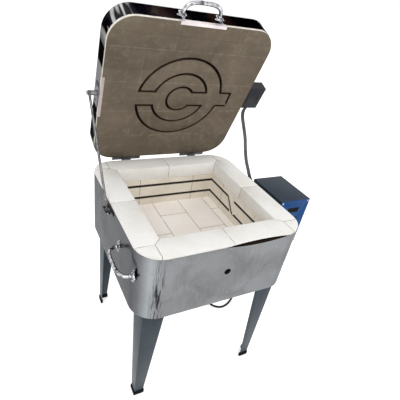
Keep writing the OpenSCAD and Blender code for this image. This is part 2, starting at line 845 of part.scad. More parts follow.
// Bright steel strips hooked over the brick's edge, at the front and the left
module lid_strips() {
    brick_edge = sheet_t;
    color(bright) on_lid() {
        translate([-strip_l / 2, -lid_d, -strip_t]) cube([strip_l, 9, strip_t]);
        translate([-strip_l / 2, -lid_d, -strip_t]) cube([strip_l, brick_edge, rim_proud + strip_t]);
        translate([-lid_half, ring_y - strip_l / 2, -strip_t]) cube([9, strip_l, strip_t]);
        translate([-lid_half, ring_y - strip_l / 2, -strip_t]) cube([brick_edge, strip_l, rim_proud + strip_t]);
    }
}

// Junction box on the lid's right side: a tray and a folded cover
module at_jbox() {
    on_lid() translate([lid_half, jbox_y, 0]) children();
}

module junction_box() {
    t = jbox_t;
    color(slate) at_jbox() difference() {
        union() {
            translate([0, -jbox_l / 2, t]) cube([t, jbox_l, jbox_h - 2 * t]);
            for (s = [0, 1]) mirror([0, s, 0])
                translate([0, jbox_l / 2 - t, t]) cube([jbox_w - t, t, jbox_h - 2 * t]);
        }
        for (s = [-1, 1]) translate([0, ring_y - jbox_y + s * ring_gap, lid_coil_z])
            rod_x(bush_r + 0.3, -1, t + 1);
        translate([junction_gland_x, jbox_l / 2, jbox_h / 2]) rod_y(6.2, -t - 1, 1);
    }
}

module junction_cover() {
    t = jbox_t;
    color(slate) at_jbox() {
        translate([0, -jbox_l / 2, 0]) cube([jbox_w, jbox_l, t]);
        translate([0, -jbox_l / 2, jbox_h - t]) cube([jbox_w, jbox_l, t]);
        translate([jbox_w - t, -jbox_l / 2, 0]) cube([t, jbox_l, jbox_h]);
        for (s = [-1, 1]) translate([jbox_w / 2 + s * 22, 0, -1.5]) cylinder(r = 3, h = 1.5);
    }
}

// Gland that a cable ends in, pointing along +Y from a wall of thickness t
module gland_body(t) {
    rod_y(9, 0, 7);
    rod_y(6, -t - 5, gland_l);
}

module junction_gland() {
    color(black) at_jbox() translate([junction_gland_x, jbox_l / 2, jbox_h / 2]) gland_body(jbox_t);
}

// Control box

module box_standoffs() {
    color(bright) framed() for (sy = [-1, 1], z = [24, cbox_h - 24])
        translate([0, cbox_y + sy * (cbox_d / 2 - 18), cbox_z + z]) {
            rod_x(6, half, cbox_x);
            rod_x(2.9, cbox_x, cbox_x + cbox_t);
            rod_x(5, cbox_x + cbox_t, cbox_x + cbox_t + 4);
        }
}

// Side wall next to the casing, floor and rear wall
module control_chassis() {
    t = cbox_t;
    color(slate) framed() difference() {
        union() {
            translate([cbox_x, cbox_front + t, cbox_z]) cube([t, cbox_d - t, cbox_h - t]);
            translate([cbox_x, cbox_front + t, cbox_z]) cube([cbox_w - t, cbox_d - t, t]);
            translate([cbox_x, cbox_rear - t, cbox_z]) cube([cbox_w - t, t, cbox_h - t]);
        }
        right_wall_holes(cbox_x - 1, cbox_x + t + 1, 0.3);
        for (sy = [-1, 1], z = [24, cbox_h - 24])
            translate([0, cbox_y + sy * (cbox_d / 2 - 18), cbox_z + z]) rod_x(3, cbox_x - 1, cbox_x + t + 1);
        translate([mains_x, mains_y, cbox_z]) cylinder(r = 8.2, h = 3 * t, center = true);
        translate([flex_x, 0, flex_z]) rod_y(6.2, cbox_rear - 3, cbox_rear + 1);
        for (i = [0 : 6]) translate([cbox_x + 24 + i * 14, cbox_rear - 4, cbox_z + 20]) cube([4, 8, 50]);
    }
}

// Top and outer side in one folded sheet
module control_cover() {
    t = cbox_t;
    color(slate) framed() {
        translate([cbox_x, cbox_front + t, cbox_top - t]) cube([cbox_w, cbox_d - t, t]);
        translate([cbox_x + cbox_w - t, cbox_front + t, cbox_z]) cube([t, cbox_d - t, cbox_h]);
    }
}

win_w = 54;
win_h = 20;
win_z = cbox_top - 43;
key_z = cbox_top - 82;
rocker_z = cbox_top - 150;

module key_places() {
    for (i = [0 : 3]) translate([cbox_mid_x + (i - 1.5) * key_pitch, 0, key_z]) children();
}

module control_panel() {
    t = cbox_t;
    color("#2d5a96") framed() difference() {
        translate([cbox_x, cbox_front, cbox_z]) cube([cbox_w, t, cbox_h]);
        translate([cbox_mid_x - win_w / 2, cbox_front - 1, win_z - win_h / 2]) cube([win_w, t + 2, win_h]);
        key_places() rod_y(key_w / 2 + key_clear, cbox_front - 1, cbox_front + t + 1);
        translate([cbox_mid_x - 11, cbox_front - 1, rocker_z - 15]) cube([22, t + 2, 30]);
        panel_screw_places() rod_y(2.1, cbox_front - 1, cbox_front + t + 1);
    }
}

module display_window() {
    t = cbox_t;
    color("#120808") framed() {
        translate([cbox_mid_x - win_w / 2 + 0.2, cbox_front + 0.3, win_z - win_h / 2 + 0.2])
            cube([win_w - 0.4, t - 0.3, win_h - 0.4]);
        translate([cbox_mid_x - win_w / 2 - 3, cbox_front + t, win_z - win_h / 2 - 3])
            cube([win_w + 6, 6, win_h + 6]);
    }
}

// A round key with its collar behind the panel and its stem on the key plate
key_collar = 1;

module key(i) {
    color(black) framed() translate([cbox_mid_x + (i - 1.5) * key_pitch, cbox_front, key_z]) {
        rod_y(key_w / 2, -1.5, cbox_t + 0.2);
        rod_y(key_w / 2 + 1.2, cbox_t + 0.2, cbox_t + 0.2 + key_collar);
        rod_y(1.5, cbox_t + key_collar, cbox_t + 0.2 + key_collar + key_travel + 2);
    }
}

module key_1() { key(0); }
module key_2() { key(1); }
module key_3() { key(2); }
module key_4() { key(3); }

// Plate behind the keys that guides their stems
module key_plate() {
    y = cbox_front + cbox_t + 0.2 + key_collar + key_travel + 0.3;
    w = 3 * key_pitch + 30;
    color("#1f6b45") framed() difference() {
        union() {
            translate([cbox_mid_x - w / 2, y, key_z - 12]) cube([w, 1.6, 24]);
            for (s = [-1, 1], h = [-1, 1]) translate([cbox_mid_x + s * (w / 2 - 4), 0, key_z + h * 8])
                rod_y(2.5, cbox_front + cbox_t, y);
        }
        key_places() rod_y(1.55, y - 1, y + 3);
    }
}

module rocker_frame() {
    t = cbox_t;
    color(black) framed() translate([cbox_mid_x, cbox_front, rocker_z]) difference() {
        union() {
            translate([-13, -1.5, -17]) cube([26, 1.5, 34]);
            translate([-10.8, -1, -14.8]) cube([21.6, 20, 29.6]);
        }
        translate([-8, -2, -12]) cube([16, 15, 24]);
        translate([0, 4, 0]) rod_x(1.55, -9.5, 9.5);
    }
}

module power_rocker() {
    color("#b3201c") framed() translate([cbox_mid_x, cbox_front + 4, rocker_z]) rotate([-rocker_tilt, 0, 0]) {
        rod_x(1.5, -9, 9);
        translate([0, 0, 0]) rotate([90, 0, 90]) translate([0, 0, -7.6]) linear_extrude(15.2)
            polygon([[-5.5, -10.2], [-7.4, -10.4], [-6.2, 0], [-7.4, 10.4], [-5.5, 10.2], [3, 4], [3, -4]]);
    }
}

rocker_tilt = 8;

module panel_screw_places() {
    for (sx = [-1, 1], z = [8, cbox_h - 8])
        translate([cbox_mid_x + sx * (cbox_w / 2 - 8), 0, cbox_z + z]) children();
}

module panel_screws() {
    color(bright) framed() {
        panel_screw_places() {
            rod_y(2, cbox_front, cbox_front + cbox_t + 5);
            rod_y(3.6, cbox_front - 1.6, cbox_front);
        }
        for (y = [cbox_front + 20, cbox_rear - 20])
            translate([cbox_x + cbox_w, y, cbox_z + 12]) rod_x(3.2, 0, side_screw_h);
    }
}

// Power relay on the floor of the box
module relay_block() {
    color("#e0e0dc") framed() translate([cbox_x + 62, cbox_front + 70, cbox_z + cbox_t]) {
        translate([0, 0, 0]) cube([46, 60, 30]);
        for (i = [0, 1], j = [0, 1]) translate([11 + i * 24, 8 + j * 44, 30]) cylinder(r = 4, h = 3);
    }
}

module controller_board() {
    y = cbox_front + cbox_t + 6;
    color("#1f6b45") framed() {
        translate([cbox_mid_x - 45, y, win_z - 18]) cube([90, 1.6, 34]);
        translate([cbox_mid_x - 36, y + 1.6, win_z - 12]) cube([22, 14, 20]);
        translate([cbox_mid_x + 4, y + 1.6, win_z - 8]) cube([14, 4, 14]);
        translate([cbox_mid_x + 26, y + 1.6, win_z - 4]) rod_y(5, 0, 16);
    }
}

module terminal_strip() {
    color("#e8e0c8") framed() translate([cbox_x + cbox_t, cbox_rear - 60, cbox_z + cbox_t]) difference() {
        cube([22, 50, 16]);
        for (i = [0 : 3]) translate([11, 7 + i * 12, 9]) cylinder(r = 2.5, h = 9);
    }
}

mains_x = 382;
mains_y = 36;
flex_x = cbox_x + 24;
flex_z = cbox_top - 44;

// Tapered strain relief where the mains cord leaves the box
module mains_gland() {
    r = cord_d / 2;
    color(black) framed() translate([mains_x, mains_y, cbox_z]) {
        translate([0, 0, -4]) cylinder(r = 12, h = 4);
        translate([0, 0, -1]) cylinder(r = 8, h = 1 + cbox_t + 4);
        rotate_extrude() polygon([[0, -4], [r + 4, -4], [r + 1.6, -relief_l], [0, -relief_l]]);
    }
}

module flex_gland() {
    color(black) framed() translate([flex_x, cbox_rear, flex_z]) gland_body(cbox_t);
}

// Cords: a tube swept along chosen points

function unit(v) = v / norm(v);
function tangent(p, i) = unit(p[min(i + 1, len(p) - 1)] - p[max(i - 1, 0)]);
// Frame carried along the path, so that the tube doesn't twist
function side_of(p, i, seed) = i == 0 ? unit(cross(tangent(p, 0), seed))
    : let (t = tangent(p, i), s = side_of(p, i - 1, seed)) unit(s - (s * t) * t);
// Smooth points between the chosen ones
function blend4(a, b, c, d, u) = 0.5 * ((2 * b) + (c - a) * u + (2 * a - 5 * b + 4 * c - d) * u * u
    + (3 * b - a - 3 * c + d) * u * u * u);
function smooth(p, n) = [for (i = [0 : len(p) - 2], k = [0 : n - 1])
    blend4(p[max(i - 1, 0)], p[i], p[i + 1], p[min(i + 2, len(p) - 1)], k / n), p[len(p) - 1]];

module tube(path, d, sides, seed) {
    n = len(path);
    rings = [for (i = [0 : n - 1]) let (t = tangent(path, i), s = side_of(path, i, seed), u = cross(t, s))
        for (k = [0 : sides - 1]) path[i] + d / 2 * (cos(360 * k / sides) * s + sin(360 * k / sides) * u)];
    walls = [for (i = [0 : n - 2], k = [0 : sides - 1])
        [i * sides + k, i * sides + (k + 1) % sides, (i + 1) * sides + (k + 1) % sides, (i + 1) * sides + k]];
    ends = [[for (k = [sides - 1 : -1 : 0]) k], [for (k = [0 : sides - 1]) (n - 1) * sides + k]];
    polyhedron(rings, concat(walls, ends));
}

// Mains cord: down from the box, round in a loose loop on the floor, and to
// its coil behind
cord_r = cord_d / 2 + 0.1;
drop_points = [[382, 36, cbox_z - relief_l - 0.3], [382, 36, 440], [383, 37, 380], [384, 40, 300],
    [384, 43, 220], [384, 46, 150], [385, 50, 96], [383, 52, 56], [374, 47, 24], [356, 36, cord_r + 2],
    [334, 23, cord_r], [308, 13, cord_r], [280, 12, cord_r], [257, 24, cord_r], [241, 46, cord_r],
    [233, 74, cord_r], [232, 104, cord_r], [237, 132, cord_r], [249, 154, cord_r], [260, 172, cord_r]];
tail_points = [[366.8, 128.2, 15.1], [355, 118.3, 15.1], [343, 108.2, 14.6], [330.5, 99.3, 13.6],
    [316, 92, 12.6], [300, 89, 12]];
coil_centre = [325, 178];
coil_mean_r = 60;
coil_rows = 2;
plug_at = [300, 89, 12];

module mains_cord() {
    color(black) framed() {
        tube(smooth(drop_points, 3), cord_d - 0.2, 10, [0, 1, 0]);
        tube(smooth(tail_points, 3), cord_d - 0.2, 10, [0, 0, 1]);
    }
}

module cord_coil() {
    color(black) framed() translate([coil_centre[0], coil_centre[1], 0]) rotate_extrude()
        translate([coil_mean_r - cord_d, 0]) square([2 * cord_d, coil_rows * cord_d]);
}

// Plug lying on the floor beside the coil
module mains_plug() {
    body_l = 34;
    color(black) framed() translate([plug_at[0], plug_at[1], 0]) mirror([1, 0, 0]) {
        translate([0, -13, 0]) cube([body_l, 26, 2 * plug_at[2]]);
        for (s = [-1, 1]) translate([body_l, s * 6.35 - 0.75, 9]) cube([17, 1.5, 6.5]);
        translate([body_l, 0, 5]) rod_x(2.4, 0, 20);
    }
}

// Flexible cable from the lid's junction box down to the control box
module lid_flex() {
    color("#6d7076") framed() tube(smooth(flex_points, 3), flex_d - 0.2, 10, [1, 0, 0]);
}

function lid_point(x, y, z) = [x,
    hinge_y + (lid_rear_y + y - hinge_y) * cos(lid_open) + (lid_gap + hinge_drop + z) * sin(lid_open),
    hinge_z - (lid_rear_y + y - hinge_y) * sin(lid_open) + (lid_gap + hinge_drop + z) * cos(lid_open)];

flex_start = jbox_y + jbox_l / 2 + gland_l + 0.8;
flex_points = [lid_point(lid_half + junction_gland_x, flex_start, jbox_h / 2),
    lid_point(lid_half + junction_gland_x, flex_start + 20, jbox_h / 2),
    [318, 241, 886], [326, 230, 852], [330, 208, 812], [326, 182, 772], [323, 157, 738],
    [325, 133, 708], [329, 111, 678], [flex_x, cbox_rear + 32, flex_z + 3],
    [flex_x, cbox_rear + gland_l + 0.4, flex_z]];

casing_wrap();
casing_seam();
base_pan();
insulation_board();
hearth_bricks();
wall_bricks();
rim_bricks();
wall_element();
element_bushes();
element_terminals();
thermocouple();
thermocouple_block();
stand_frame();
leg_front_left();
leg_front_right();
leg_rear_left();
leg_rear_right();
rubber_feet();
stand_bolts();
side_handle_bow();
side_handle_feet();
stay_guide();
body_hinge_leaves();
hinge_pins();
hinge_screws();
box_standoffs();
control_chassis();
control_cover();
control_panel();
display_window();
key_1();
key_2();
key_3();
key_4();
key_plate();
rocker_frame();
power_rocker();
relay_block();
controller_board();
terminal_strip();
mains_gland();
flex_gland();
panel_screws();
mains_cord();
cord_coil();
mains_plug();
lid_flex();
lid_casing();
lid_bricks();
lid_element();
lid_bushes();
lid_strips();
lid_hinge_leaves();
lid_handle_bow();
lid_handle_feet();
stay_bracket();
junction_box();
junction_cover();
junction_gland();
stay_rod();
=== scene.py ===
"""Looks of a top-loading jewellery kiln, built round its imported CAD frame.

Pieces are laid out in millimetres from the kiln's own centre line, with the
floor at z = 0, and place() turns those into metres of the frame. The finishes
work in metres, because a material reads its object's own coordinates.
"""
import math
import random

import bmesh
import bpy
from mathutils import Matrix, Vector, noise


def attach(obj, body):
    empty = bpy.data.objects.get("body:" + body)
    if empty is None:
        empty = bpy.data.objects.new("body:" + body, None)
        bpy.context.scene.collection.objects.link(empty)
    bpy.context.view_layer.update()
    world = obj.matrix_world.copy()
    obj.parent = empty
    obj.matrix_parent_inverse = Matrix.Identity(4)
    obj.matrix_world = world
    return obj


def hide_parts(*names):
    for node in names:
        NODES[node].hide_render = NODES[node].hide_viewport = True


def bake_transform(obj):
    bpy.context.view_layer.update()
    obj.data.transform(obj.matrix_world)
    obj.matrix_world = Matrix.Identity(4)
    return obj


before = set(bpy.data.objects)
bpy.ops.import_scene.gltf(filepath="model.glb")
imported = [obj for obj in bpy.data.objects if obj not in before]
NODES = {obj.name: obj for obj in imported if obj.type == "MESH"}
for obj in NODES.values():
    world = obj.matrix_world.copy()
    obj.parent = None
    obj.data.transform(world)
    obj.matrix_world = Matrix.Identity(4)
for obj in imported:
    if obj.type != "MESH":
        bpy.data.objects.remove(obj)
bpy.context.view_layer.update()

# Where the frame's origin lies from the kiln's centre line
CENTRE_X = 57.05
CENTRE_Y = 35.68

# Sizes shared with the CAD
HALF = 288.0
CORNER = 80.0
FLOOR_OF_CASING = 460.0
TOP_OF_CASING = 697.0
TOP_OF_BRICKS = 707.0
CHAMBER = 206.8
HINGE_Y = 294.0
HINGE_Z = 695.0
LID_REAR = 281.5
LID_ANGLE = math.radians(67.4)
LID_HALF = 275.0
LID_DEPTH = 546.0
LID_THICK = 62.0
RING_Y = -281.0
BOX_X = 308.0
BOX_W = 138.0
BOX_FRONT = -123.0
BOX_REAR = 59.0
BOX_TOP = 704.0
BOX_FLOOR = 498.0
CORD_R = 4.9
BRICK = 114.3
BOW_R = 11 / 2
LID_STAGGER = 43.0
PEEPHOLE_Z = TOP_OF_BRICKS - 111
PEEPHOLE_R = 11.5
SIDE_HANDLE_Y, SIDE_HANDLE_Z = -166.0, 611.0
SIDE_HANDLE_SPAN, LID_HANDLE_SPAN = 152, 136
HINGE_X, HINGE_LEAF = 143, 2
JUNCTION_X, JUNCTION_LENGTH, JUNCTION_HEIGHT = 38, 90, 38
GLAND_LENGTH = 16

# Where the front's top edge has bent down, and how far
GAP_X, GAP_HALF = 95.0, 118.0
EDGE_DIP = 9.0


def place(x, y, z):
    """Kiln millimetres to frame metres."""
    return Vector(((x - CENTRE_X) / 1000, (y - CENTRE_Y) / 1000, z / 1000))


def on_lid(x, y, z):
    """A point of the lid's own frame (rear edge y 0, brick face z 0) where it stands open."""
    back = LID_REAR + y - HINGE_Y
    up = 14 + z
    return place(x, HINGE_Y + back * math.cos(LID_ANGLE) + up * math.sin(LID_ANGLE),
                 HINGE_Z - back * math.sin(LID_ANGLE) + up * math.cos(LID_ANGLE))


def linked(name, data):
    """A new object of the scene that shows the given data."""
    made = bpy.data.objects.new(name, data)
    bpy.context.scene.collection.objects.link(made)
    return made


def add_node(tree, kind, inputs=None, **settings):
    """A node with its settings, each input linked to a socket or set to a constant."""
    made = tree.nodes.new(kind)
    for key, value in settings.items():
        setattr(made, key, value)
    for key, value in (inputs or {}).items():
        if isinstance(value, bpy.types.NodeSocket):
            tree.links.new(value, made.inputs[key])
        else:
            made.inputs[key].default_value = value
    return made


def maths_node(tree, operation, a, b=0.0):
    return add_node(tree, "ShaderNodeMath", {0: a, 1: b}, operation=operation).outputs[0]


# Camera

def add_camera():
    yaw, pitch, roll = 0.570, 0.606, 0.188
    eye = place(-554.2, -917.9, 1321.0)
    ahead = Vector((math.sin(yaw) * math.cos(pitch), math.cos(yaw) * math.cos(pitch), -math.sin(pitch)))
    right = ahead.cross(Vector((0, 0, 1))).normalized()
    up = right.cross(ahead)
    right_r = right * math.cos(roll) + up * math.sin(roll)
    up_r = -right * math.sin(roll) + up * math.cos(roll)
    turn = Matrix((right_r, up_r, -ahead)).transposed().to_4x4()
    data = bpy.data.cameras.new("view")
    data.sensor_width = 36.0
    data.lens = 31.70
    data.shift_x = 0.01255
    data.shift_y = 0.0623
    data.clip_start = 0.05
    data.clip_end = 60
    camera = linked("view", data)
    camera.matrix_world = Matrix.Translation(eye) @ turn
    bpy.context.scene.camera = camera


add_camera()


# Materials

def tone(r, g, b):
    """A colour of 0 to 255, as it looks, to the linear values that Blender takes."""
    return tuple((c / 255 / 12.92 if c <= 10 else ((c / 255 + 0.055) / 1.055) ** 2.4)
                 for c in (r, g, b)) + (1.0,)


class Finish:
    """A material under construction, with short calls for the nodes it uses."""

    def __init__(self, name, metal=0.0, rough=0.5, specular=0.5, coat=0.0, edge=1.0):
        self.material = bpy.data.materials.new(name)
        self.material.use_nodes = True
        self.tree = self.material.node_tree
        self.tree.nodes.clear()
        self.shader = self.node("ShaderNodeBsdfPrincipled", {
            "Metallic": metal, "Roughness": rough, "Specular IOR Level": specular,
            "Coat Weight": coat, "Coat Roughness": 0.12, "Specular Tint": (edge, edge, edge, 1)})
        self.node("ShaderNodeOutputMaterial", {"Surface": self.shader.outputs[0]})
        self.place = self.node("ShaderNodeTexCoord").outputs["Object"]

    def node(self, kind, inputs=None, **settings):
        return add_node(self.tree, kind, inputs, **settings)

    def moved(self, scale=(1, 1, 1), turn=(0, 0, 0), shift=(0, 0, 0)):
        return self.node("ShaderNodeMapping", {
            "Vector": self.place, "Scale": scale, "Rotation": turn, "Location": shift}).outputs[0]

    def clouds(self, scale, detail=4.0, stretch=(1, 1, 1), rough=0.55, turn=(0, 0, 0), bend=0.0):
        return self.node("ShaderNodeTexNoise", {
            "Vector": self.moved(stretch, turn), "Scale": scale, "Detail": detail,
            "Roughness": rough, "Distortion": bend}).outputs[0]

    def cells(self, scale):
        return self.node("ShaderNodeTexVoronoi", {
            "Vector": self.moved(), "Scale": scale}).outputs["Distance"]

    def span(self, value, low, high, to_low=0.0, to_high=1.0):
        return self.node("ShaderNodeMapRange", {
            "Value": value, "From Min": low, "From Max": high,
            "To Min": to_low, "To Max": to_high}).outputs[0]

    def maths(self, operation, a, b=0.0):
        return maths_node(self.tree, operation, a, b)

    def blend(self, share, a, b):
        """One colour over another: sockets 6, 7 and 2 are the node's colour inputs and output."""
        return self.node("ShaderNodeMix", {0: share, 6: a, 7: b}, data_type="RGBA").outputs[2]

    def parts(self, vector):
        return self.node("ShaderNodeSeparateXYZ", {"Vector": vector}).outputs

    def near(self, value, at, half, soft=0.0004):
        """1 where a value lies within half of a place, fading to 0 past it."""
        gap = self.maths("ABSOLUTE", self.maths("SUBTRACT", value, at))
        return self.span(gap, half + soft, half - soft)

    def every(self, value, pitch, half):
        """1 on thin lines that repeat at a pitch."""
        folded = self.maths("PINGPONG", value, pitch / 2)
        return self.near(folded, 0.0, half)

    def kiln_place(self):
        """Metres from the kiln's centre line."""
        return self.parts(self.moved(shift=(CENTRE_X / 1000, CENTRE_Y / 1000, 0)))

    def colour(self, value):
        self.tree.links.new(value, self.shader.inputs["Base Color"])

    def roughness(self, value):
        self.tree.links.new(value, self.shader.inputs["Roughness"])

    def relief(self, height, strength, distance, after=None):
        inputs = {"Height": height, "Strength": strength, "Distance": distance}
        if after is not None:
            inputs["Normal"] = after
        made = self.node("ShaderNodeBump", inputs).outputs[0]
        self.tree.links.new(made, self.shader.inputs["Normal"])
        return made


def sheet_steel(name, light, dark, rough_low, rough_high, scratch=0.5, marks_and_painted_light=False):
    """Polished sheet: fine scratches and cloudy handling marks. The casing's flag adds its specks and dark
    scrapes, with painted shade on its left side and a painted highlight at its front left corner.
    """
    f = Finish(name, metal=1.0, edge=0.5)
    scratches = f.clouds(90, 3, stretch=(0.25, 0.25, 9))
    short = f.clouds(60, 2, stretch=(3, 3, 0.4), turn=(0.6, 0.2, 0.4))
    smear = f.clouds(7, 5, rough=0.6, bend=0.6)
    lines = f.maths("MULTIPLY", scratches, short)
    wear = f.maths("ADD", f.span(smear, 0.35, 0.7), f.span(lines, 0.2, 0.45, 0, scratch))
    ground = f.blend(f.span(wear, 0.2, 1.3), light, dark)
    if marks_and_painted_light:
        ground = casing_marks_and_painted_light(f, ground)
    f.colour(ground)
    f.roughness(f.span(wear, 0.1, 1.4, rough_low, rough_high))
    first = f.relief(scratches, 0.05, 0.0003)
    f.relief(f.clouds(5, 2), 0.12, 0.004, first)
    return f.material


def casing_marks_and_painted_light(f, ground):
    """Specks and scrapes down the front left corner, with painted shade darkening the left side and a
    painted highlight at the front left corner.
    """
    at = f.kiln_place()
    # Painted shade: the casing's left side is darkened.
    ground = f.blend(f.span(at["X"], -0.255, -0.287, 0, 0.85), ground, tone(86, 88, 92))
    # Painted highlight: a lighter upright band near the front left corner.
    painted_corner_highlight = f.maths("MULTIPLY", f.near(at["X"], -0.252, 0.012, 0.012),
                           f.span(at["Y"], -0.22, -0.26))
    ground = f.blend(f.maths("MULTIPLY", painted_corner_highlight, 0.5), ground, tone(164, 170, 174))
    specks = f.span(f.cells(55), 0.10, 0.05, 0, 0.5)
    ground = f.blend(specks, ground, tone(84, 80, 77))
    ground = f.blend(f.span(f.clouds(75, 2), 0.70, 0.76, 0, 0.4), ground, tone(176, 176, 176))
    corner = f.maths("MULTIPLY", f.near(at["X"], -0.229, 0.014, 0.010), f.span(at["Y"], -0.262, -0.272))
    corner = f.maths("MULTIPLY", corner, f.span(at["Z"], 0.68, 0.58, 0.35, 1))
    scrape = f.span(f.clouds(210, 2, stretch=(1, 1, 0.07), turn=(0, 0.05, 0)), 0.5, 0.6)
    return f.blend(f.maths("MULTIPLY", corner, scrape), ground, tone(40, 40, 43))


def lid_frame(f):
    """The lid's own directions, in metres, for a finish that is laid out on the lid."""
    turn = Matrix.Rotation(LID_ANGLE, 3, "X")
    return f.moved(turn=(LID_ANGLE, 0, 0), shift=tuple(-(turn @ on_lid(0, 0, 0))))


def lid_band_steel():
    """Mirror-bright lid band, its colour a painted dark reflection, with painted light streaks and a painted
    highlight at its left corner.
    """
    f = Finish("lid_band_steel", metal=1.0, edge=0.2)
    frame_place = lid_frame(f)
    at = f.parts(frame_place)
    flat = f.node("ShaderNodeMapping", {"Vector": frame_place, "Scale": (1, 1, 0.08)}).outputs[0]
    stripes = f.node("ShaderNodeTexNoise", {"Vector": flat, "Scale": 34, "Detail": 2}).outputs[0]
    broad = f.node("ShaderNodeTexNoise", {"Vector": flat, "Scale": 7, "Detail": 1}).outputs[0]
    # Painted reflections: light streaks at the left corner, and a painted highlight near the left edge.
    left = f.maths("MULTIPLY", f.span(at["X"], -0.17, -0.24), f.span(at["Y"], -0.42, -0.47))
    painted_streaks = f.maths("MULTIPLY", left, f.span(stripes, 0.54, 0.58))
    pale = f.maths("MULTIPLY", f.near(at["Y"], -0.33, 0.05, 0.006), f.span(at["X"], -0.26, -0.272))
    smear = f.clouds(22, 4)
    # Painted reflection: the band's near-black ground stands in for dark reflections.
    ground = f.blend(f.span(broad, 0.4, 0.62), tone(50, 50, 54), tone(74, 68, 66))
    ground = f.blend(f.span(smear, 0.55, 0.75, 0, 0.4), ground, tone(96, 90, 86))
    ground = f.blend(f.maths("MAXIMUM", painted_streaks, pale), ground, tone(198, 198, 198))
    cloudy = f.blend(f.span(broad, 0.3, 0.75), tone(131, 133, 135), tone(116, 115, 115))
    cloudy = f.blend(f.span(smear, 0.45, 0.85, 0, 0.35), cloudy, tone(98, 96, 94))
    top = f.span(at["Z"], (LID_THICK - 1.2) / 1000, (LID_THICK - 0.4) / 1000)
    f.colour(f.blend(top, ground, cloudy))
    f.roughness(f.span(smear, 0.3, 0.7, 0.1, 0.24))
    f.relief(f.clouds(6, 2), 0.15, 0.004)
    return f.material


def hearth_joints(f):
    """Joints of the chamber floor: rows of bricks, each half a brick along from the next."""
    at = f.kiln_place()
    width = BRICK / 1000
    row = f.maths("FLOOR", f.maths("DIVIDE", f.maths("ADD", at["X"], width / 2), width))
    even = f.maths("SUBTRACT", 1.0, f.maths("FLOORED_MODULO", row, 2.0))
    ends = f.every(f.maths("ADD", at["Y"], f.maths("MULTIPLY", even, width)), 2 * width, 0.0009)
    sides = f.every(f.maths("ADD", at["X"], width / 2), width, 0.0009)
    return f.maths("MAXIMUM", ends, sides)


def wall_joints(f):
    """Upright joints of the lower course, one brick's width either side of the middle."""
    at = f.kiln_place()
    lines = [f.near(f.maths("ABSOLUTE", at[axis]), BRICK / 1000, 0.0008) for axis in "XY"]
    return f.maths("MAXIMUM", *lines)


def rim_joints(f):
    """Joints of the rim: the middle of each side, round the corner pieces, and the mitres."""
    at = f.kiln_place()
    brick = 2 * BRICK / 1000
    x, y = (f.maths("ABSOLUTE", at[axis]) for axis in "XY")
    middle = f.maths("MAXIMUM", f.near(x, 0.0, 0.0008), f.near(y, 0.0, 0.0008))
    past_x, past_y = f.span(x, brick - 0.0006, brick), f.span(y, brick - 0.0006, brick)
    corner = f.maths("MAXIMUM", f.maths("MULTIPLY", f.near(x, brick, 0.0008), past_y),
                     f.maths("MULTIPLY", f.near(y, brick, 0.0008), past_x))
    inside = f.maths("SUBTRACT", 1.0, f.maths("MAXIMUM", past_x, past_y))
    mitre = f.maths("MULTIPLY", f.near(f.maths("SUBTRACT", x, y), 0.0, 0.0009), inside)
    return f.maths("MAXIMUM", f.maths("MAXIMUM", middle, corner), mitre)


def lid_joints(f, at):
    """Joints of the lid's slab, in the lid's own directions."""
    width = BRICK / 1000
    row = f.maths("FLOOR", f.maths("DIVIDE", at["Y"], width))
    odd = f.maths("FLOORED_MODULO", row, 2.0)
    shift = f.maths("SUBTRACT", width + LID_STAGGER / 1000,
                    f.maths("MULTIPLY", odd, 2 * LID_STAGGER / 1000))
    ends = f.every(f.maths("ADD", at["X"], shift), 2 * width, 0.0008)
    return f.maths("MAXIMUM", ends, f.every(at["Y"], width, 0.0008))


def firebrick(name, clean, stained, joints=None):
    """Soft insulating brick: fine pores, crumbly grain and a slow change of colour."""
    f = Finish(name, rough=0.95, specular=0.15)
    grain = f.clouds(260, 4)
    slow = f.clouds(7, 4, rough=0.6)
    pores = f.cells(420)
    ground = f.blend(f.span(slow, 0.42, 0.74), clean, stained)
    speckled = f.blend(f.span(grain, 0.55, 0.78, 0, 0.45), ground, stained)
    done = f.blend(f.span(pores, 0.05, 0.2, 0.55, 0), speckled, tone(150, 138, 118))
    if joints:
        worn = f.span(f.clouds(40, 3), 0.3, 0.5, 0.45, 1)
        done = f.blend(f.maths("MULTIPLY", joints(f), worn), done, tone(92, 78, 66))
    f.colour(wall_darkened_bore_and_grooves(f, done) if joints is wall_joints else done)
    first = f.relief(f.span(pores, 0.0, 0.35), 0.35, 0.0006)
    f.relief(grain, 0.4, 0.0006, first)
    return f.material


def wall_darkened_bore_and_grooves(f, ground):
    """The front wall's bore painted dark, and the element's grooves darkened as painted shade."""
    across = f.moved(scale=(1, 0, 1), shift=(CENTRE_X / 1000, 0, -PEEPHOLE_Z / 1000))
    radius = f.node("ShaderNodeVectorMath", {0: across}, operation="LENGTH").outputs["Value"]
    at = f.kiln_place()
    # The bore through the front wall is painted dark.
    bore = f.maths("MULTIPLY", f.span(radius, 0.0133, 0.0125), f.span(at["Y"], -0.1, -0.12))
    out = f.maths("MAXIMUM", f.maths("ABSOLUTE", at["X"]), f.maths("ABSOLUTE", at["Y"]))
    # Painted shade: the element's grooves are darkened.
    groove = f.span(out, CHAMBER / 1000 + 0.0008, CHAMBER / 1000 + 0.003, 0, 0.9)
    return f.blend(f.maths("MAXIMUM", bore, groove), ground, tone(34, 29, 27))


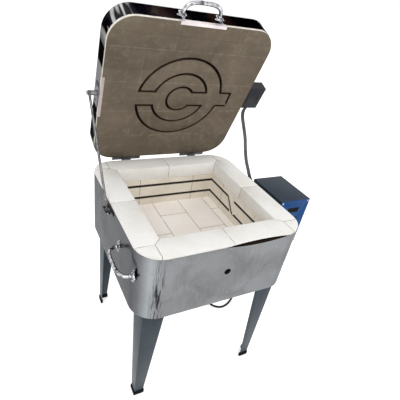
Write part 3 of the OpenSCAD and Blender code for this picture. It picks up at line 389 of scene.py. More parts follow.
def lid_firebrick():
    """Lid brick: a dim tan face, partly dirt and partly painted shade, pale at its sides, and dark in its
    groove as painted shade.
    """
    f = Finish("lid_firebrick", rough=0.95, specular=0.12)
    frame_place = lid_frame(f)
    local = f.parts(frame_place)
    grain = f.clouds(240, 4)
    slow = f.clouds(6, 4, rough=0.6)
    fine = f.clouds(45, 3)
    # Painted shade with dirt: the face is a dim tan while the sides keep the brick's cream.
    face = f.blend(f.span(slow, 0.36, 0.66), tone(118, 107, 93), tone(101, 91, 78))
    face = f.blend(f.span(fine, 0.5, 0.75, 0, 0.5), face, tone(134, 124, 109))
    face = f.blend(f.maths("MULTIPLY", lid_joints(f, local), f.span(fine, 0.38, 0.56, 0.1, 0.6)),
                   face, tone(156, 147, 132))
    side = f.blend(f.span(fine, 0.4, 0.7), tone(232, 229, 222), tone(206, 200, 188))
    # Painted shade: the groove's walls are dark.
    groove = f.blend(f.span(fine, 0.4, 0.7), tone(50, 38, 31), tone(78, 62, 50))
    level = f.node("ShaderNodeMapping", {
        "Vector": frame_place, "Scale": (1, 1, 0), "Location": (0, -RING_Y / 1000, 0)}).outputs[0]
    out = f.node("ShaderNodeVectorMath", {0: level}, operation="LENGTH").outputs["Value"]
    deep = f.blend(f.span(out, 0.230, 0.233), groove, side)
    depth = f.maths("ADD", local["Z"], f.span(fine, 0, 1, -0.0012, 0.0012))
    both = f.blend(f.span(depth, 0.0006, 0.0022), face, deep)
    f.colour(f.blend(f.span(grain, 0.5, 0.8, 0, 0.4), both, tone(84, 74, 62)))
    f.relief(grain, 0.45, 0.0006)
    return f.material


def rim_firebrick():
    """Rim brick: cream, with painted shade where it has crumbled behind the casing's front edge."""
    f = Finish("rim_firebrick", rough=0.95, specular=0.15)
    at = f.kiln_place()
    grain = f.clouds(260, 4)
    slow = f.clouds(8, 4, rough=0.6)
    pores = f.cells(430)
    ground = f.blend(f.span(slow, 0.45, 0.72), tone(233, 232, 229), tone(222, 218, 210))
    ground = f.blend(f.span(grain, 0.56, 0.8, 0, 0.4), ground, tone(207, 199, 184))
    ground = f.blend(f.span(pores, 0.05, 0.2, 0.4, 0), ground, tone(178, 168, 150))
    worn = f.span(f.clouds(40, 3), 0.3, 0.5, 0.35, 0.9)
    ground = f.blend(f.maths("MULTIPLY", rim_joints(f), worn), ground, tone(112, 98, 86))
    # Painted shade: the brick below an arch behind the casing's bent front edge is darkened.
    share = f.maths("DIVIDE", f.maths("SUBTRACT", at["X"], GAP_X / 1000), GAP_HALF / 1000)
    arch = f.maths("SUBTRACT", 1.0, f.maths("MULTIPLY", share, share))
    top = f.maths("ADD", f.maths("MULTIPLY", arch, 0.0066), TOP_OF_CASING / 1000)
    top = f.maths("ADD", top, f.span(f.clouds(120, 3), 0.3, 0.7, -0.0012, 0.0012))
    below = f.span(f.maths("SUBTRACT", top, at["Z"]), -0.0004, 0.0004)
    painted_gap_shade = f.maths("MULTIPLY", below, f.span(at["Y"], -0.262, -0.266))
    f.colour(f.blend(painted_gap_shade, ground, tone(38, 26, 20)))
    first = f.relief(f.span(pores, 0.0, 0.35), 0.3, 0.0005)
    f.relief(grain, 0.35, 0.0005, first)
    return f.material


def enamel(name, base, worn, rough=0.36, peel=0.1):
    """Baked paint: faint orange peel, dusty patches and small rubbed marks."""
    f = Finish(name, rough=rough, specular=0.15)
    dust = f.clouds(9, 5, rough=0.6)
    marks = f.clouds(120, 3, stretch=(1, 1, 0.35))
    share = f.maths("ADD", f.span(dust, 0.42, 0.75, 0, 0.5), f.span(marks, 0.66, 0.8, 0, 0.6))
    f.colour(f.blend(share, base, worn))
    f.roughness(f.span(share, 0, 1, rough, min(1.0, rough + 0.25)))
    f.relief(f.clouds(520, 2), peel, 0.0003)
    return f.material


def bright_metal(name, light, dark, rough_low, rough_high, cast=0.0, spread=38):
    """Plated or cast bright metal with light and dark clouds: small tarnish on most, and on the cast chrome
    painted highlights and dark reflections.
    """
    f = Finish(name, metal=1.0, edge=0.6)
    cloud = f.clouds(spread, 4, rough=0.6)
    f.colour(f.blend(f.span(cloud, 0.42, 0.64), light, dark))
    f.roughness(f.span(cloud, 0.3, 0.75, rough_low, rough_high))
    f.relief(f.clouds(300, 2), 0.06 + cast, 0.0004)
    return f.material


def moulded(name, base, worn, rough, grain, specular=0.5, coat=0.0):
    """Moulded plastic, rubber or ceramic with a fine grain and some dust."""
    f = Finish(name, rough=rough, specular=specular, coat=coat)
    dust = f.clouds(24, 5, rough=0.65)
    f.colour(f.blend(f.span(dust, 0.42, 0.8), base, worn))
    f.roughness(f.span(dust, 0.3, 0.8, rough, min(1.0, rough + 0.18)))
    f.relief(f.clouds(700, 3), grain, 0.0003)
    return f.material


def burnt_wire():
    """Resistance wire with its dark oxide and rusty flecks."""
    f = Finish("burnt_wire", rough=0.85, specular=0.1)
    scale_marks = f.clouds(180, 4)
    f.colour(f.blend(f.span(scale_marks, 0.4, 0.7), tone(30, 24, 21), tone(62, 48, 39)))
    f.relief(scale_marks, 0.4, 0.0003)
    return f.material


CASING = sheet_steel("casing_steel", tone(131, 133, 135), tone(103, 103, 103), 0.2, 0.38, 0.25, True)
PLAIN_STEEL = sheet_steel("plain_steel", tone(150, 151, 153), tone(118, 118, 118), 0.3, 0.46, 0.3)
STRIP = sheet_steel("strip_steel", tone(236, 226, 226), tone(208, 198, 198), 0.3, 0.42, 0.3)
LID_BAND = lid_band_steel()
RIM = rim_firebrick()
WALL = firebrick("wall_firebrick", tone(230, 223, 210), tone(212, 202, 186), joints=wall_joints)
HEARTH = firebrick("hearth_firebrick", tone(252, 247, 242), tone(242, 233, 224), joints=hearth_joints)
BOARD = firebrick("fibre_board", tone(236, 233, 226), tone(214, 208, 196))
LID_BRICK = lid_firebrick()
LEG = enamel("leg_enamel", tone(50, 60, 68), tone(76, 84, 90))
SLATE = enamel("slate_enamel", tone(42, 51, 62), tone(62, 71, 80), rough=0.5)
GRAPHITE = enamel("graphite_enamel", tone(38, 39, 43), tone(56, 57, 61), rough=0.5)
BLUE = enamel("panel_blue_film", tone(12, 66, 122), tone(28, 82, 134), rough=0.5, peel=0.05)
BLACK_PAINT = enamel("black_enamel", tone(34, 34, 36), tone(62, 62, 64), rough=0.4)
# Cast chrome: its strong light and dark clouds are painted highlights and dark reflections.
CAST = bright_metal("cast_chrome", tone(204, 205, 209), tone(66, 66, 70), 0.08, 0.2, 0.06, 85)
PLATED = bright_metal("plated_steel", tone(214, 216, 220), tone(170, 168, 166), 0.16, 0.32)
ROD = bright_metal("stay_rod_steel", tone(122, 120, 122), tone(78, 75, 75), 0.2, 0.34)
BRASS = bright_metal("clamp_brass", tone(206, 172, 104), tone(150, 118, 66), 0.25, 0.42)
RUBBER = moulded("black_rubber", tone(16, 16, 17), tone(30, 30, 32), 0.8, 0.3, 0.1)
CORD_BLACK = moulded("cord_rubber", tone(13, 13, 14), tone(26, 26, 28), 0.6, 0.15, 0.12)
CABLE_GREY = moulded("cable_sheath", tone(92, 95, 100), tone(66, 68, 73), 0.5, 0.25, 0.25)
BLACK_PLASTIC = moulded("black_plastic", tone(20, 20, 22), tone(38, 39, 41), 0.5, 0.15, 0.25)
WHITE_CERAMIC = moulded("white_ceramic", tone(236, 232, 222), tone(208, 202, 188), 0.4, 0.1)
RELAY = moulded("relay_case", tone(222, 220, 212), tone(196, 194, 184), 0.5, 0.12)
BOARD_GREEN = moulded("circuit_board", tone(34, 106, 70), tone(52, 128, 88), 0.35, 0.08)
WINDOW = moulded("dark_window", tone(9, 4, 5), tone(18, 7, 8), 0.4, 0.02, 0.05)
ROCKER_RED = moulded("rocker_red", tone(176, 34, 28), tone(200, 62, 54), 0.25, 0.04, 0.5, coat=0.3)
WIRE = burnt_wire()

FINISH_OF = {
    "casing_seam": CASING, "lid_casing": LID_BAND, "lid_strips": STRIP,
    "base_pan": PLAIN_STEEL, "body_hinge_leaves": PLAIN_STEEL, "lid_hinge_leaves": PLAIN_STEEL,
    "box_standoffs": PLATED, "stay_bracket": PLAIN_STEEL, "stand_bolts": PLATED,
    "hinge_pins": PLATED, "stay_rod": ROD,
    "hearth_bricks": HEARTH, "wall_bricks": WALL, "insulation_board": BOARD,
    "element_bushes": WHITE_CERAMIC, "lid_bushes": WHITE_CERAMIC, "thermocouple": WHITE_CERAMIC,
    "thermocouple_block": WHITE_CERAMIC, "terminal_strip": WHITE_CERAMIC,
    "element_terminals": BRASS, "stay_guide": BLACK_PAINT, "stand_frame": LEG,
    "control_chassis": SLATE, "junction_box": GRAPHITE, "display_window": WINDOW,
    **{f"key_{n}": BLACK_PLASTIC for n in range(1, 5)},
    "rocker_frame": BLACK_PLASTIC, "mains_gland": BLACK_PLASTIC, "flex_gland": BLACK_PLASTIC,
    "junction_gland": BLACK_PLASTIC, "power_rocker": ROCKER_RED, "key_plate": BOARD_GREEN,
    "controller_board": BOARD_GREEN, "relay_block": RELAY,
}


def dress(piece, finish):
    piece.data.materials.clear()
    piece.data.materials.append(finish)


for node_name, finish in FINISH_OF.items():
    dress(NODES[node_name], finish)


# Mesh workshop

def mesh_of(name, bm):
    """The plain mesh of a bmesh, which is freed."""
    mesh = bpy.data.meshes.new(name)
    bm.to_mesh(mesh)
    bm.free()
    return mesh


def finish_piece(name, bm, finish, body, node, smooth_angle=35):
    """Makes a closed solid into a piece that rides on a body and stands for a node."""
    mesh = mesh_of(name, bm)
    mesh.materials.append(finish)
    piece = linked(name, mesh)
    mesh.shade_smooth()
    mesh.set_sharp_from_angle(angle=math.radians(smooth_angle))
    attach(piece, body)
    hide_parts(node)
    return piece


def merged_copy(node_name):
    """A node's solid as one clean bmesh: shared corners, and flat faces without inner edges."""
    bm = bmesh.new()
    bm.from_mesh(NODES[node_name].data)
    bmesh.ops.remove_doubles(bm, verts=bm.verts, dist=2e-6)
    bmesh.ops.dissolve_limit(bm, angle_limit=math.radians(1.0), verts=bm.verts, edges=bm.edges)
    return bm


def ease_edges(bm, width, segments):
    """Rounds the edges sharper than 30 degrees by a width in millimetres."""
    sharp = [e for e in bm.edges if len(e.link_faces) == 2
             and e.calc_face_angle(0) > math.radians(30)]
    bmesh.ops.bevel(bm, geom=sharp, offset=width / 1000, segments=segments, profile=0.5,
                    affect="EDGES", clamp_overlap=True)
    return bm


def eased_piece(node_name, finish, body, width, segments):
    """A node's own solid with its edges rounded."""
    bm = ease_edges(merged_copy(node_name), width, segments)
    return finish_piece("eased_" + node_name, bm, finish, body, node_name)


def cut_from(piece, cutter):
    """Takes one solid out of another and removes the cutter."""
    boolean = piece.modifiers.new("cut", "BOOLEAN")
    boolean.operation = "DIFFERENCE"
    boolean.solver = "EXACT"
    boolean.object = cutter
    settle(piece)
    bpy.data.objects.remove(cutter)


def settle(piece):
    """Turns a piece with modifiers into its plain evaluated mesh."""
    graph = bpy.context.evaluated_depsgraph_get()
    mesh = bpy.data.meshes.new_from_object(piece.evaluated_get(graph))
    piece.modifiers.clear()
    piece.data = mesh


# Cords

def rounded(points, steps):
    """Catmull-Rom points through the given ones, as the CAD sweeps them."""
    out = []
    for i in range(len(points) - 1):
        a, b = Vector(points[max(i - 1, 0)]), Vector(points[i])
        c, d = Vector(points[i + 1]), Vector(points[min(i + 2, len(points) - 1)])
        for k in range(steps):
            u = k / steps
            out.append(0.5 * (2 * b + (c - a) * u + (2 * a - 5 * b + 4 * c - d) * u * u
                              + (3 * b - a - 3 * c + d) * u ** 3))
    out.append(Vector(points[-1]))
    return out


DROP = [(382, 36, 463.7), (382, 36, 440), (383, 37, 380), (384, 40, 300), (384, 43, 220),
        (384, 46, 150), (385, 50, 96), (383, 52, 56), (374, 47, 24), (356, 36, 7.1),
        (334, 23, 5.1), (308, 13, 5.1), (280, 12, 5.1), (257, 24, 5.1), (241, 46, 5.1),
        (233, 74, 5.1), (232, 104, 5.1), (237, 132, 5.1), (249, 154, 5.1), (260, 172, 5.1)]
TAIL = [(355, 118.3, 15.1), (343, 108.2, 14.6), (330.5, 99.3, 13.6), (316, 92, 12.6), (300, 89, 12)]
COIL_X, COIL_Y = 325.0, 178.0
COIL_START, COIL_SWEEP = 185.27, 1315.27
OUTER_TURN, TURN_GAP, LYING_Z = 65, 10, 5.1


def eased_step(value, low, high):
    t = min(1.0, max(0.0, (value - low) / (high - low)))
    return t * t * (3 - 2 * t)


def coil_route():
    """Turns laid beside and on each other: outer, inner, then the same a layer up."""
    points = []
    count = int(COIL_SWEEP / 18)
    for i in range(1, count):
        swept = COIL_SWEEP * i / count
        inward, outward = eased_step(swept, 300, 345), eased_step(swept, 957, 1002)
        r = OUTER_TURN - TURN_GAP * inward + TURN_GAP * outward
        z = LYING_Z + TURN_GAP * eased_step(swept, 642, 687)
        angle = math.radians(COIL_START - swept)
        points.append((COIL_X + r * math.cos(angle), COIL_Y + r * math.sin(angle), z))
    return points


def cord_curve(name, route, radius, finish):
    data = bpy.data.curves.new(name, "CURVE")
    data.dimensions = "3D"
    data.bevel_depth = radius / 1000
    data.bevel_resolution = 3
    data.resolution_u = 5
    data.use_fill_caps = True
    spline = data.splines.new("BEZIER")
    spline.bezier_points.add(len(route) - 1)
    for knot, p in zip(spline.bezier_points, route):
        knot.co = place(*p)
        knot.handle_left_type = knot.handle_right_type = "AUTO"
    data.materials.append(finish)
    return linked(name, data), spline


def bezier_length(spline):
    """Length of a curve whose handles Blender has set."""
    bpy.context.view_layer.update()
    total = 0.0
    knots = spline.bezier_points
    for a, b in zip(knots, knots[1:]):
        last = a.co
        for k in range(1, 9):
            t = k / 8
            p = (a.co * (1 - t) ** 3 + a.handle_right * 3 * t * (1 - t) ** 2
                 + b.handle_left * 3 * t * t * (1 - t) + b.co * t ** 3)
            total += (p - last).length
            last = p
    return total


def add_mains_cord():
    route = DROP + coil_route() + TAIL
    cord, spline = cord_curve("mains_lead", route, CORD_R, CORD_BLACK)
    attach(cord, "kiln")
    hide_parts("mains_cord", "cord_coil")
    plug = eased_piece("mains_plug", CORD_BLACK, "kiln", 3.0, 3)
    length = bezier_length(spline)


add_mains_cord()


def swept_tube(points, radius, sides, first):
    """A closed round tube along points in metres, with flat ends."""
    bm = bmesh.new()
    rings = []
    side = None
    for i, p in enumerate(points):
        tangent = (points[min(i + 1, len(points) - 1)] - points[max(i - 1, 0)]).normalized()
        if side is None:
            side = tangent.cross(first).normalized()
        side = (side - tangent * side.dot(tangent)).normalized()
        other = tangent.cross(side)
        rings.append([bm.verts.new(p + radius * (math.cos(2 * math.pi * k / sides) * side
                                                 + math.sin(2 * math.pi * k / sides) * other))
                      for k in range(sides)])
    for a, b in zip(rings, rings[1:]):
        for k in range(sides):
            bm.faces.new((a[k], a[(k + 1) % sides], b[(k + 1) % sides], b[k]))
    bm.faces.new(rings[0][::-1])
    bm.faces.new(rings[-1])
    bmesh.ops.recalc_face_normals(bm, faces=bm.faces)
    return bm


def twin_cable(path):
    """Two cores side by side in one sheath, drawn together where they enter the glands."""
    bm = bmesh.new()
    sides, taper, wider, thinner = 24, 5, 2.1, 1.3
    last, across = None, None
    for i, p in enumerate(path):
        tangent = (path[min(i + 1, len(path) - 1)] - path[max(i - 1, 0)]).normalized()
        wanted = Vector((1, -0.62, 0)) if across is None else across
        across = (wanted - tangent * wanted.dot(tangent)).normalized()
        other = tangent.cross(across)
        spread = min(1.0, min(i, len(path) - 1 - i) / taper)
        ring = []
        for k in range(sides):
            a = 2 * math.pi * k / sides
            waist = 1 - 0.5 * spread * math.sin(a) ** 6
            wide = CORD_R + wider * spread
            thick = CORD_R - thinner * spread
            ring.append(bm.verts.new(p + (across * wide * math.cos(a)
                                          + other * thick * waist * math.sin(a)) / 1000))
        if last:
            for k in range(sides):
                bm.faces.new((last[k], last[(k + 1) % sides], ring[(k + 1) % sides], ring[k]))
        else:
            bm.faces.new(ring[::-1])
        last = ring
    bm.faces.new(last)
    bmesh.ops.recalc_face_normals(bm, faces=bm.faces)
    return bm


def add_lid_cable():
    """The cable from the lid's box to the control box."""
    flex_x, flex_z, gland_gap = BOX_X + 24, BOX_TOP - 44, 0.8
    junction_y = RING_Y - 7.5
    start_y = junction_y + JUNCTION_LENGTH / 2 + GLAND_LENGTH + gland_gap
    back = [tuple(on_lid(LID_HALF + JUNCTION_X, y, JUNCTION_HEIGHT / 2)) for y in (start_y, start_y + 20)]
    centre = (CENTRE_X, CENTRE_Y, 0)
    back = [tuple(1000 * a + b for a, b in zip(p, centre)) for p in back]
    ends = back + [(318, 241, 886), (326, 230, 852), (330, 208, 812), (326, 182, 772),
                   (323, 157, 738), (325, 133, 708), (329, 111, 678),
                   (flex_x, BOX_REAR + 32, flex_z + 3),
                   (flex_x, BOX_REAR + GLAND_LENGTH + gland_gap, flex_z)]
    path = [place(*p) for p in rounded(ends, 6)]
    mesh = mesh_of("lid_cable", twin_cable(path))
    mesh.materials.append(CABLE_GREY)
    mesh.shade_smooth()
    cable = linked("lid_cable", mesh)
    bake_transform(cable)
    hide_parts("lid_flex")


add_lid_cable()


# Heating coils

def new_tree(name, sockets):
    tree = bpy.data.node_groups.new(name, "GeometryNodeTree")
    tree.interface.new_socket("Geometry", in_out="INPUT", socket_type="NodeSocketGeometry")
    for label, kind, value in sockets:
        socket = tree.interface.new_socket(label, in_out="INPUT", socket_type=kind)
        if value is not None:
            socket.default_value = value
    tree.interface.new_socket("Geometry", in_out="OUTPUT", socket_type="NodeSocketGeometry")
    return tree


def winding_tree():
    """Winds a wire round a path: the path's length over the pitch gives the turns."""
    tree = new_tree("element_winding", [
        ("Coil Radius", "NodeSocketFloat", 0.0027), ("Wire Radius", "NodeSocketFloat", 0.0007),
        ("Pitch", "NodeSocketFloat", 0.0045), ("Steps per Turn", "NodeSocketInt", 8),
        ("Wire Finish", "NodeSocketMaterial", None)])
    given = add_node(tree, "NodeGroupInput").outputs
    path = add_node(tree, "GeometryNodeMeshToCurve", {0: given["Geometry"]}).outputs[0]
    length = add_node(tree, "GeometryNodeCurveLength", {0: path}).outputs[0]
    turns = maths_node(tree, "ROUND", maths_node(tree, "DIVIDE", length, given["Pitch"]))
    count = maths_node(tree, "MULTIPLY", turns, given["Steps per Turn"])
    fine = add_node(tree, "GeometryNodeResampleCurve", {"Curve": path, "Count": count}).outputs[0]
    along = add_node(tree, "GeometryNodeSplineParameter").outputs["Factor"]
    angle = maths_node(tree, "MULTIPLY", maths_node(tree, "MULTIPLY", along, turns), 2 * math.pi)
    normal = add_node(tree, "GeometryNodeInputNormal").outputs[0]
    tangent = add_node(tree, "GeometryNodeInputTangent").outputs[0]
    across = add_node(tree, "ShaderNodeVectorMath", {0: tangent, 1: normal},
                       operation="CROSS_PRODUCT").outputs[0]
    reach_n = maths_node(tree, "MULTIPLY", maths_node(tree, "COSINE", angle), given["Coil Radius"])
    reach_a = maths_node(tree, "MULTIPLY", maths_node(tree, "SINE", angle), given["Coil Radius"])
    part_n = add_node(tree, "ShaderNodeVectorMath", {0: normal, "Scale": reach_n}, operation="SCALE")
    part_a = add_node(tree, "ShaderNodeVectorMath", {0: across, "Scale": reach_a}, operation="SCALE")
    offset = add_node(tree, "ShaderNodeVectorMath", {0: part_n.outputs[0], 1: part_a.outputs[0]},
                       operation="ADD").outputs[0]
    wound = add_node(tree, "GeometryNodeSetPosition", {"Geometry": fine, "Offset": offset}).outputs[0]
    section = add_node(tree, "GeometryNodeCurvePrimitiveCircle",
                        {"Resolution": 5, "Radius": given["Wire Radius"]}).outputs[0]
    wire = add_node(tree, "GeometryNodeCurveToMesh",
                     {"Curve": wound, "Profile Curve": section, "Fill Caps": True}).outputs[0]
    real = add_node(tree, "GeometryNodeRealizeInstances", {0: wire}).outputs[0]
    done = add_node(tree, "GeometryNodeSetMaterial",
                     {"Geometry": real, "Material": given["Wire Finish"]}).outputs[0]
    tree.links.new(done, add_node(tree, "NodeGroupOutput").inputs[0])
    return tree


def run_tree(piece, tree, values):
    modifier = piece.modifiers.new(tree.name, "NODES")
    modifier.node_group = tree
    for item in tree.interface.items_tree:
        if item.item_type == "SOCKET" and item.in_out == "INPUT" and item.name in values:
            modifier[item.identifier] = values[item.name]
    settle(piece)


WINDING = winding_tree()


def wound_element(name, route, coil_r, pitch, body, node):
    """A heating coil wound along a route of points in metres."""
    mesh = bpy.data.meshes.new(name)
    mesh.from_pydata([tuple(p) for p in route], [(i, i + 1) for i in range(len(route) - 1)], [])
    piece = linked(name, mesh)
    run_tree(piece, WINDING, {"Coil Radius": coil_r / 1000, "Wire Radius": 0.00075,
                              "Pitch": pitch / 1000, "Steps per Turn": 8, "Wire Finish": WIRE})
    piece.data.name = name
    piece.data.shade_smooth()
    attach(piece, body)
    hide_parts(node)


def wall_element_route():
    """From the front lead round the chamber, down the slant and round again."""
    groove, coil_r, clear = 11, 3.5, 0.3
    at, bend, points = CHAMBER + groove - coil_r - clear, 14.0, []
    run = at - bend
    front_lead_y, front_lead_z, slant_top_y = 17, 630, 68
    rear_lead_y, rear_lead_z, slant_foot_y = 44, 578, 23

    def turn(z, y_from, y_to):
        points.append((at, y_from, z))
        for cx, cy, a0 in ((run, -run, 0), (-run, -run, -90), (-run, run, -180), (run, run, -270)):
            for k in range(5):
                a = math.radians(a0 - 22.5 * k)
                points.append((cx + bend * math.cos(a), cy + bend * math.sin(a), z))
        points.append((at, y_to, z))

    turn(front_lead_z, front_lead_y, slant_top_y)
    turn(rear_lead_z, slant_foot_y, rear_lead_y)
    return [place(*p) for p in points]


def lid_element_route():
    """One run: in, round three broken rings and out again, on the lid's brick face."""
    radii, gap, z, feed_x = (154.0, 99.0, 48.0), 28.0, 8.2, 196
    points = [(feed_x, gap)]

    def arc(r, start, end):
        steps = max(6, int(abs(end - start) / 6))
        for k in range(steps + 1):
            a = math.radians(start + (end - start) * k / steps)
            points.append((r * math.cos(a), r * math.sin(a)))

    lean = [math.degrees(math.asin(gap / r)) for r in radii]
    arc(radii[0], lean[0], 180 - lean[0])
    arc(radii[1], 180 - lean[1], lean[1])
    arc(radii[2], lean[2], 360 - lean[2])
    arc(radii[1], -lean[1], -180 + lean[1])
    arc(radii[0], -180 + lean[0], -lean[0])
    points.append((feed_x, -gap))
    return [on_lid(x, RING_Y + y, z) for x, y in points]


wound_element("wall_winding", wall_element_route(), 2.6, 4.6, "kiln", "wall_element")
wound_element("lid_winding", lid_element_route(), 2.7, 4.2, "lid", "lid_element")


# Casing and bricks

def casing_outline(step):
    """Points and outward directions round the casing, anticlockwise from the front."""
    out = []
    straight, arc_steps = HALF - CORNER, 23
    for quarter in range(4):
        turn = Matrix.Rotation(math.radians(90 * quarter), 2)
        count = int(2 * straight / step)
        for k in range(count):
            p = Vector((-straight + 2 * straight * k / count, -HALF))
            out.append((turn @ p, turn @ Vector((0, -1))))
        for k in range(arc_steps):
            a = math.radians(-90 + 90 * k / arc_steps)
            d = Vector((math.cos(a), math.sin(a)))
            out.append((turn @ (Vector((straight, -straight)) + CORNER * d), turn @ d))
    return out


def casing_dents(seed):
    """Places, sizes and depths of the dents, the deepest at the front left corner."""
    draw = random.Random(seed)
    dents = []
    for _ in range(13):
        a = math.radians(draw.uniform(190, 262))
        z = draw.uniform(474, 640)
        dents.append((CORNER - HALF + CORNER * math.cos(a), CORNER - HALF + CORNER * math.sin(a), z,
                      draw.uniform(9, 26), draw.uniform(0.35, 0.95)))
    for _ in range(9):
        dents.append((draw.uniform(-190, 200), -HALF, draw.uniform(476, 660),
                      draw.uniform(16, 44), draw.uniform(0.1, 0.35)))
    for _ in range(8):
        dents.append((-HALF, draw.uniform(-180, 190), draw.uniform(476, 670),
                      draw.uniform(16, 40), draw.uniform(0.1, 0.4)))
    return dents


def sheet_depth(dents, x, y, z):
    deep = 0.10 * (1 + noise.noise(Vector((x, y, z)) * 0.011))
    for dx, dy, dz, size, depth in dents:
        gap = ((x - dx) ** 2 + (y - dy) ** 2 + (0.7 * (z - dz)) ** 2) / size ** 2
        if gap < 9:
            deep += depth * math.exp(-gap * 1.6)
    return min(deep, 1.05)


def edge_dip(p):
    """How far the front's top edge has bent down below the rest, in millimetres."""
    share = (p.x - GAP_X) / GAP_HALF
    return EDGE_DIP * (1 - share * share) if p.y < 1 - HALF and abs(share) < 1 else 0.0


def add_casing():
    dents = casing_dents(11)
    outline = casing_outline(7)
    sheet, rows, tall = 1.1, 36, TOP_OF_CASING - FLOOR_OF_CASING
    levels = [FLOOR_OF_CASING + tall * i / rows for i in range(rows + 1)]
    bm = bmesh.new()
    outer, inner = [], []
    for z in levels:
        share = 0.35 if z in (levels[0], levels[-1]) else 1.0
        row_out, row_in = [], []
        for p, d in outline:
            deep = sheet_depth(dents, p.x, p.y, z) * share
            q = p - d * deep
            low = z - edge_dip(p) * (z - FLOOR_OF_CASING) / tall
            row_out.append(bm.verts.new(place(q.x, q.y, low)))
            r = p - d * sheet
            row_in.append(bm.verts.new(place(r.x, r.y, low)))
        outer.append(row_out)
        inner.append(row_in)
    n = len(outline)
    for i in range(len(levels) - 1):
        for k in range(n):
            m = (k + 1) % n
            bm.faces.new((outer[i][k], outer[i][m], outer[i + 1][m], outer[i + 1][k]))
            bm.faces.new((inner[i][k], inner[i + 1][k], inner[i + 1][m], inner[i][m]))
    for k in range(n):
        m = (k + 1) % n
        bm.faces.new((outer[0][k], inner[0][k], inner[0][m], outer[0][m]))
        bm.faces.new((outer[-1][k], outer[-1][m], inner[-1][m], inner[-1][k]))
    bmesh.ops.recalc_face_normals(bm, faces=bm.faces)
    casing = finish_piece("dented_casing", bm, CASING, "kiln", "casing_wrap", 50)
    hole = bmesh.new()
    bmesh.ops.create_cone(hole, cap_ends=True, segments=48, depth=0.03,
                          radius1=PEEPHOLE_R / 1000, radius2=PEEPHOLE_R / 1000)
    hole.transform(Matrix.Translation(place(0, -HALF, PEEPHOLE_Z)) @ Matrix.Rotation(math.pi / 2, 4, "X"))
    cut_from(casing, linked("peephole_cutter", mesh_of("peephole_cutter", hole)))


add_casing()


def add_rim():
    """Rim bricks with rubbed edges, crumbled away behind the casing's front edge."""
    rim = eased_piece("rim_bricks", RIM, "kiln", 1.0, 2)
    hollow = bmesh.new()
    bmesh.ops.create_uvsphere(hollow, u_segments=40, v_segments=20, radius=1.0)
    hollow_z, into_brick, high = 693, 0.012, 0.0105
    hollow.transform(Matrix.Translation(place(GAP_X, -HALF - 1, hollow_z))
                     @ Matrix.Diagonal((GAP_HALF / 1000, into_brick, high, 1)))
    for v in hollow.verts:
        v.co.z += 0.0006 * noise.noise(v.co * 60)
    cut_from(rim, linked("hollow_cutter", mesh_of("hollow_cutter", hollow)))


add_rim()
eased_piece("lid_bricks", LID_BRICK, "lid", 0.8, 1)


# Cast handles

def cast_foot(bm, centre, along, across, out):
    """A four-pointed cast foot: long points across the handle, short ones along it."""
    rings, spokes = 12, 64
    middle_r, long_reach, short_reach, leaf_depth = 8.6, 15.5, 7.0, 0.8
    edge = []
    for k in range(spokes):
        a = 2 * math.pi * k / spokes
        long_point = abs(math.sin(a)) ** 12
        short_point = abs(math.cos(a)) ** 8
        leaf = leaf_depth * math.cos(8 * a)
        edge.append(middle_r + long_reach * long_point + short_reach * short_point + leaf)
    top, middle = [], []
    for i in range(rings + 1):
        share = i / rings
        row = []
        for k in range(spokes):
            a = 2 * math.pi * k / spokes
            r = edge[k] * share
            dome = 6.6 * math.exp(-(r / 6.0) ** 2)
            bead = 1.5 * math.exp(-((r - 8.0) / 1.5) ** 2)
            rib = 2.0 * (1 - share) + 1.1
            h = (dome + bead + rib) * (1 if i < rings else 0.45)
            row.append(bm.verts.new(centre + (along * math.cos(a) * r + across * math.sin(a) * r
                                              + out * h) / 1000))
            if i == 0:
                break
        top.append(row)
    for k in range(spokes):
        a = 2 * math.pi * k / spokes
        middle.append(bm.verts.new(centre + (along * math.cos(a) * edge[k]
                                             + across * math.sin(a) * edge[k]) / 1000))
    for k in range(spokes):
        m = (k + 1) % spokes
        bm.faces.new((top[0][0], top[1][k], top[1][m]))
        for i in range(1, rings):
            bm.faces.new((top[i][k], top[i + 1][k], top[i + 1][m], top[i][m]))
        bm.faces.new((top[rings][k], middle[k], middle[m], top[rings][m]))
    bm.faces.new(middle[::-1])


def add_ball(bm, centre, radius):
    made = bmesh.ops.create_uvsphere(bm, u_segments=16, v_segments=10, radius=radius / 1000)
    bmesh.ops.translate(bm, verts=made["verts"], vec=centre)


def add_cast_feet(name, body, node, middle, along, across, out, span):
    bm = bmesh.new()
    for s in (-1, 1):
        centre = middle + along * s * (span / 2 - 6) / 1000
        cast_foot(bm, centre, along, across, out)
        for t in (-1, 1):
            add_ball(bm, centre + (across * t * 15.5 + out * 3.2) / 1000, 2.7)
            add_ball(bm, centre + (along * t * 10.5 + out * 3.0) / 1000, 2.2)
        add_ball(bm, centre + (out * 8.5 - along * s * 2) / 1000, 6.6)
    bmesh.ops.recalc_face_normals(bm, faces=bm.faces)
    finish_piece(name, bm, CAST, body, node, 60)


def add_bow(name, body, node, middle, along, out, span):
    """A bent rod between the feet: a rounded arch that is flattest at the grip."""
    half, reach, bulge = span / 2 - 8, 40.0, 2 / 3.0
    points = []
    for i in range(49):
        a = math.pi * i / 48
        side = math.copysign(abs(math.cos(a)) ** bulge, math.cos(a))
        rise = 3 + (reach - 3) * math.sin(a) ** bulge if 0 < i < 48 else 3
        points.append(middle + (along * side * half + out * rise) / 1000)
    bm = swept_tube(points, BOW_R / 1000, 20, along)
    finish_piece(name, bm, CAST, body, node)


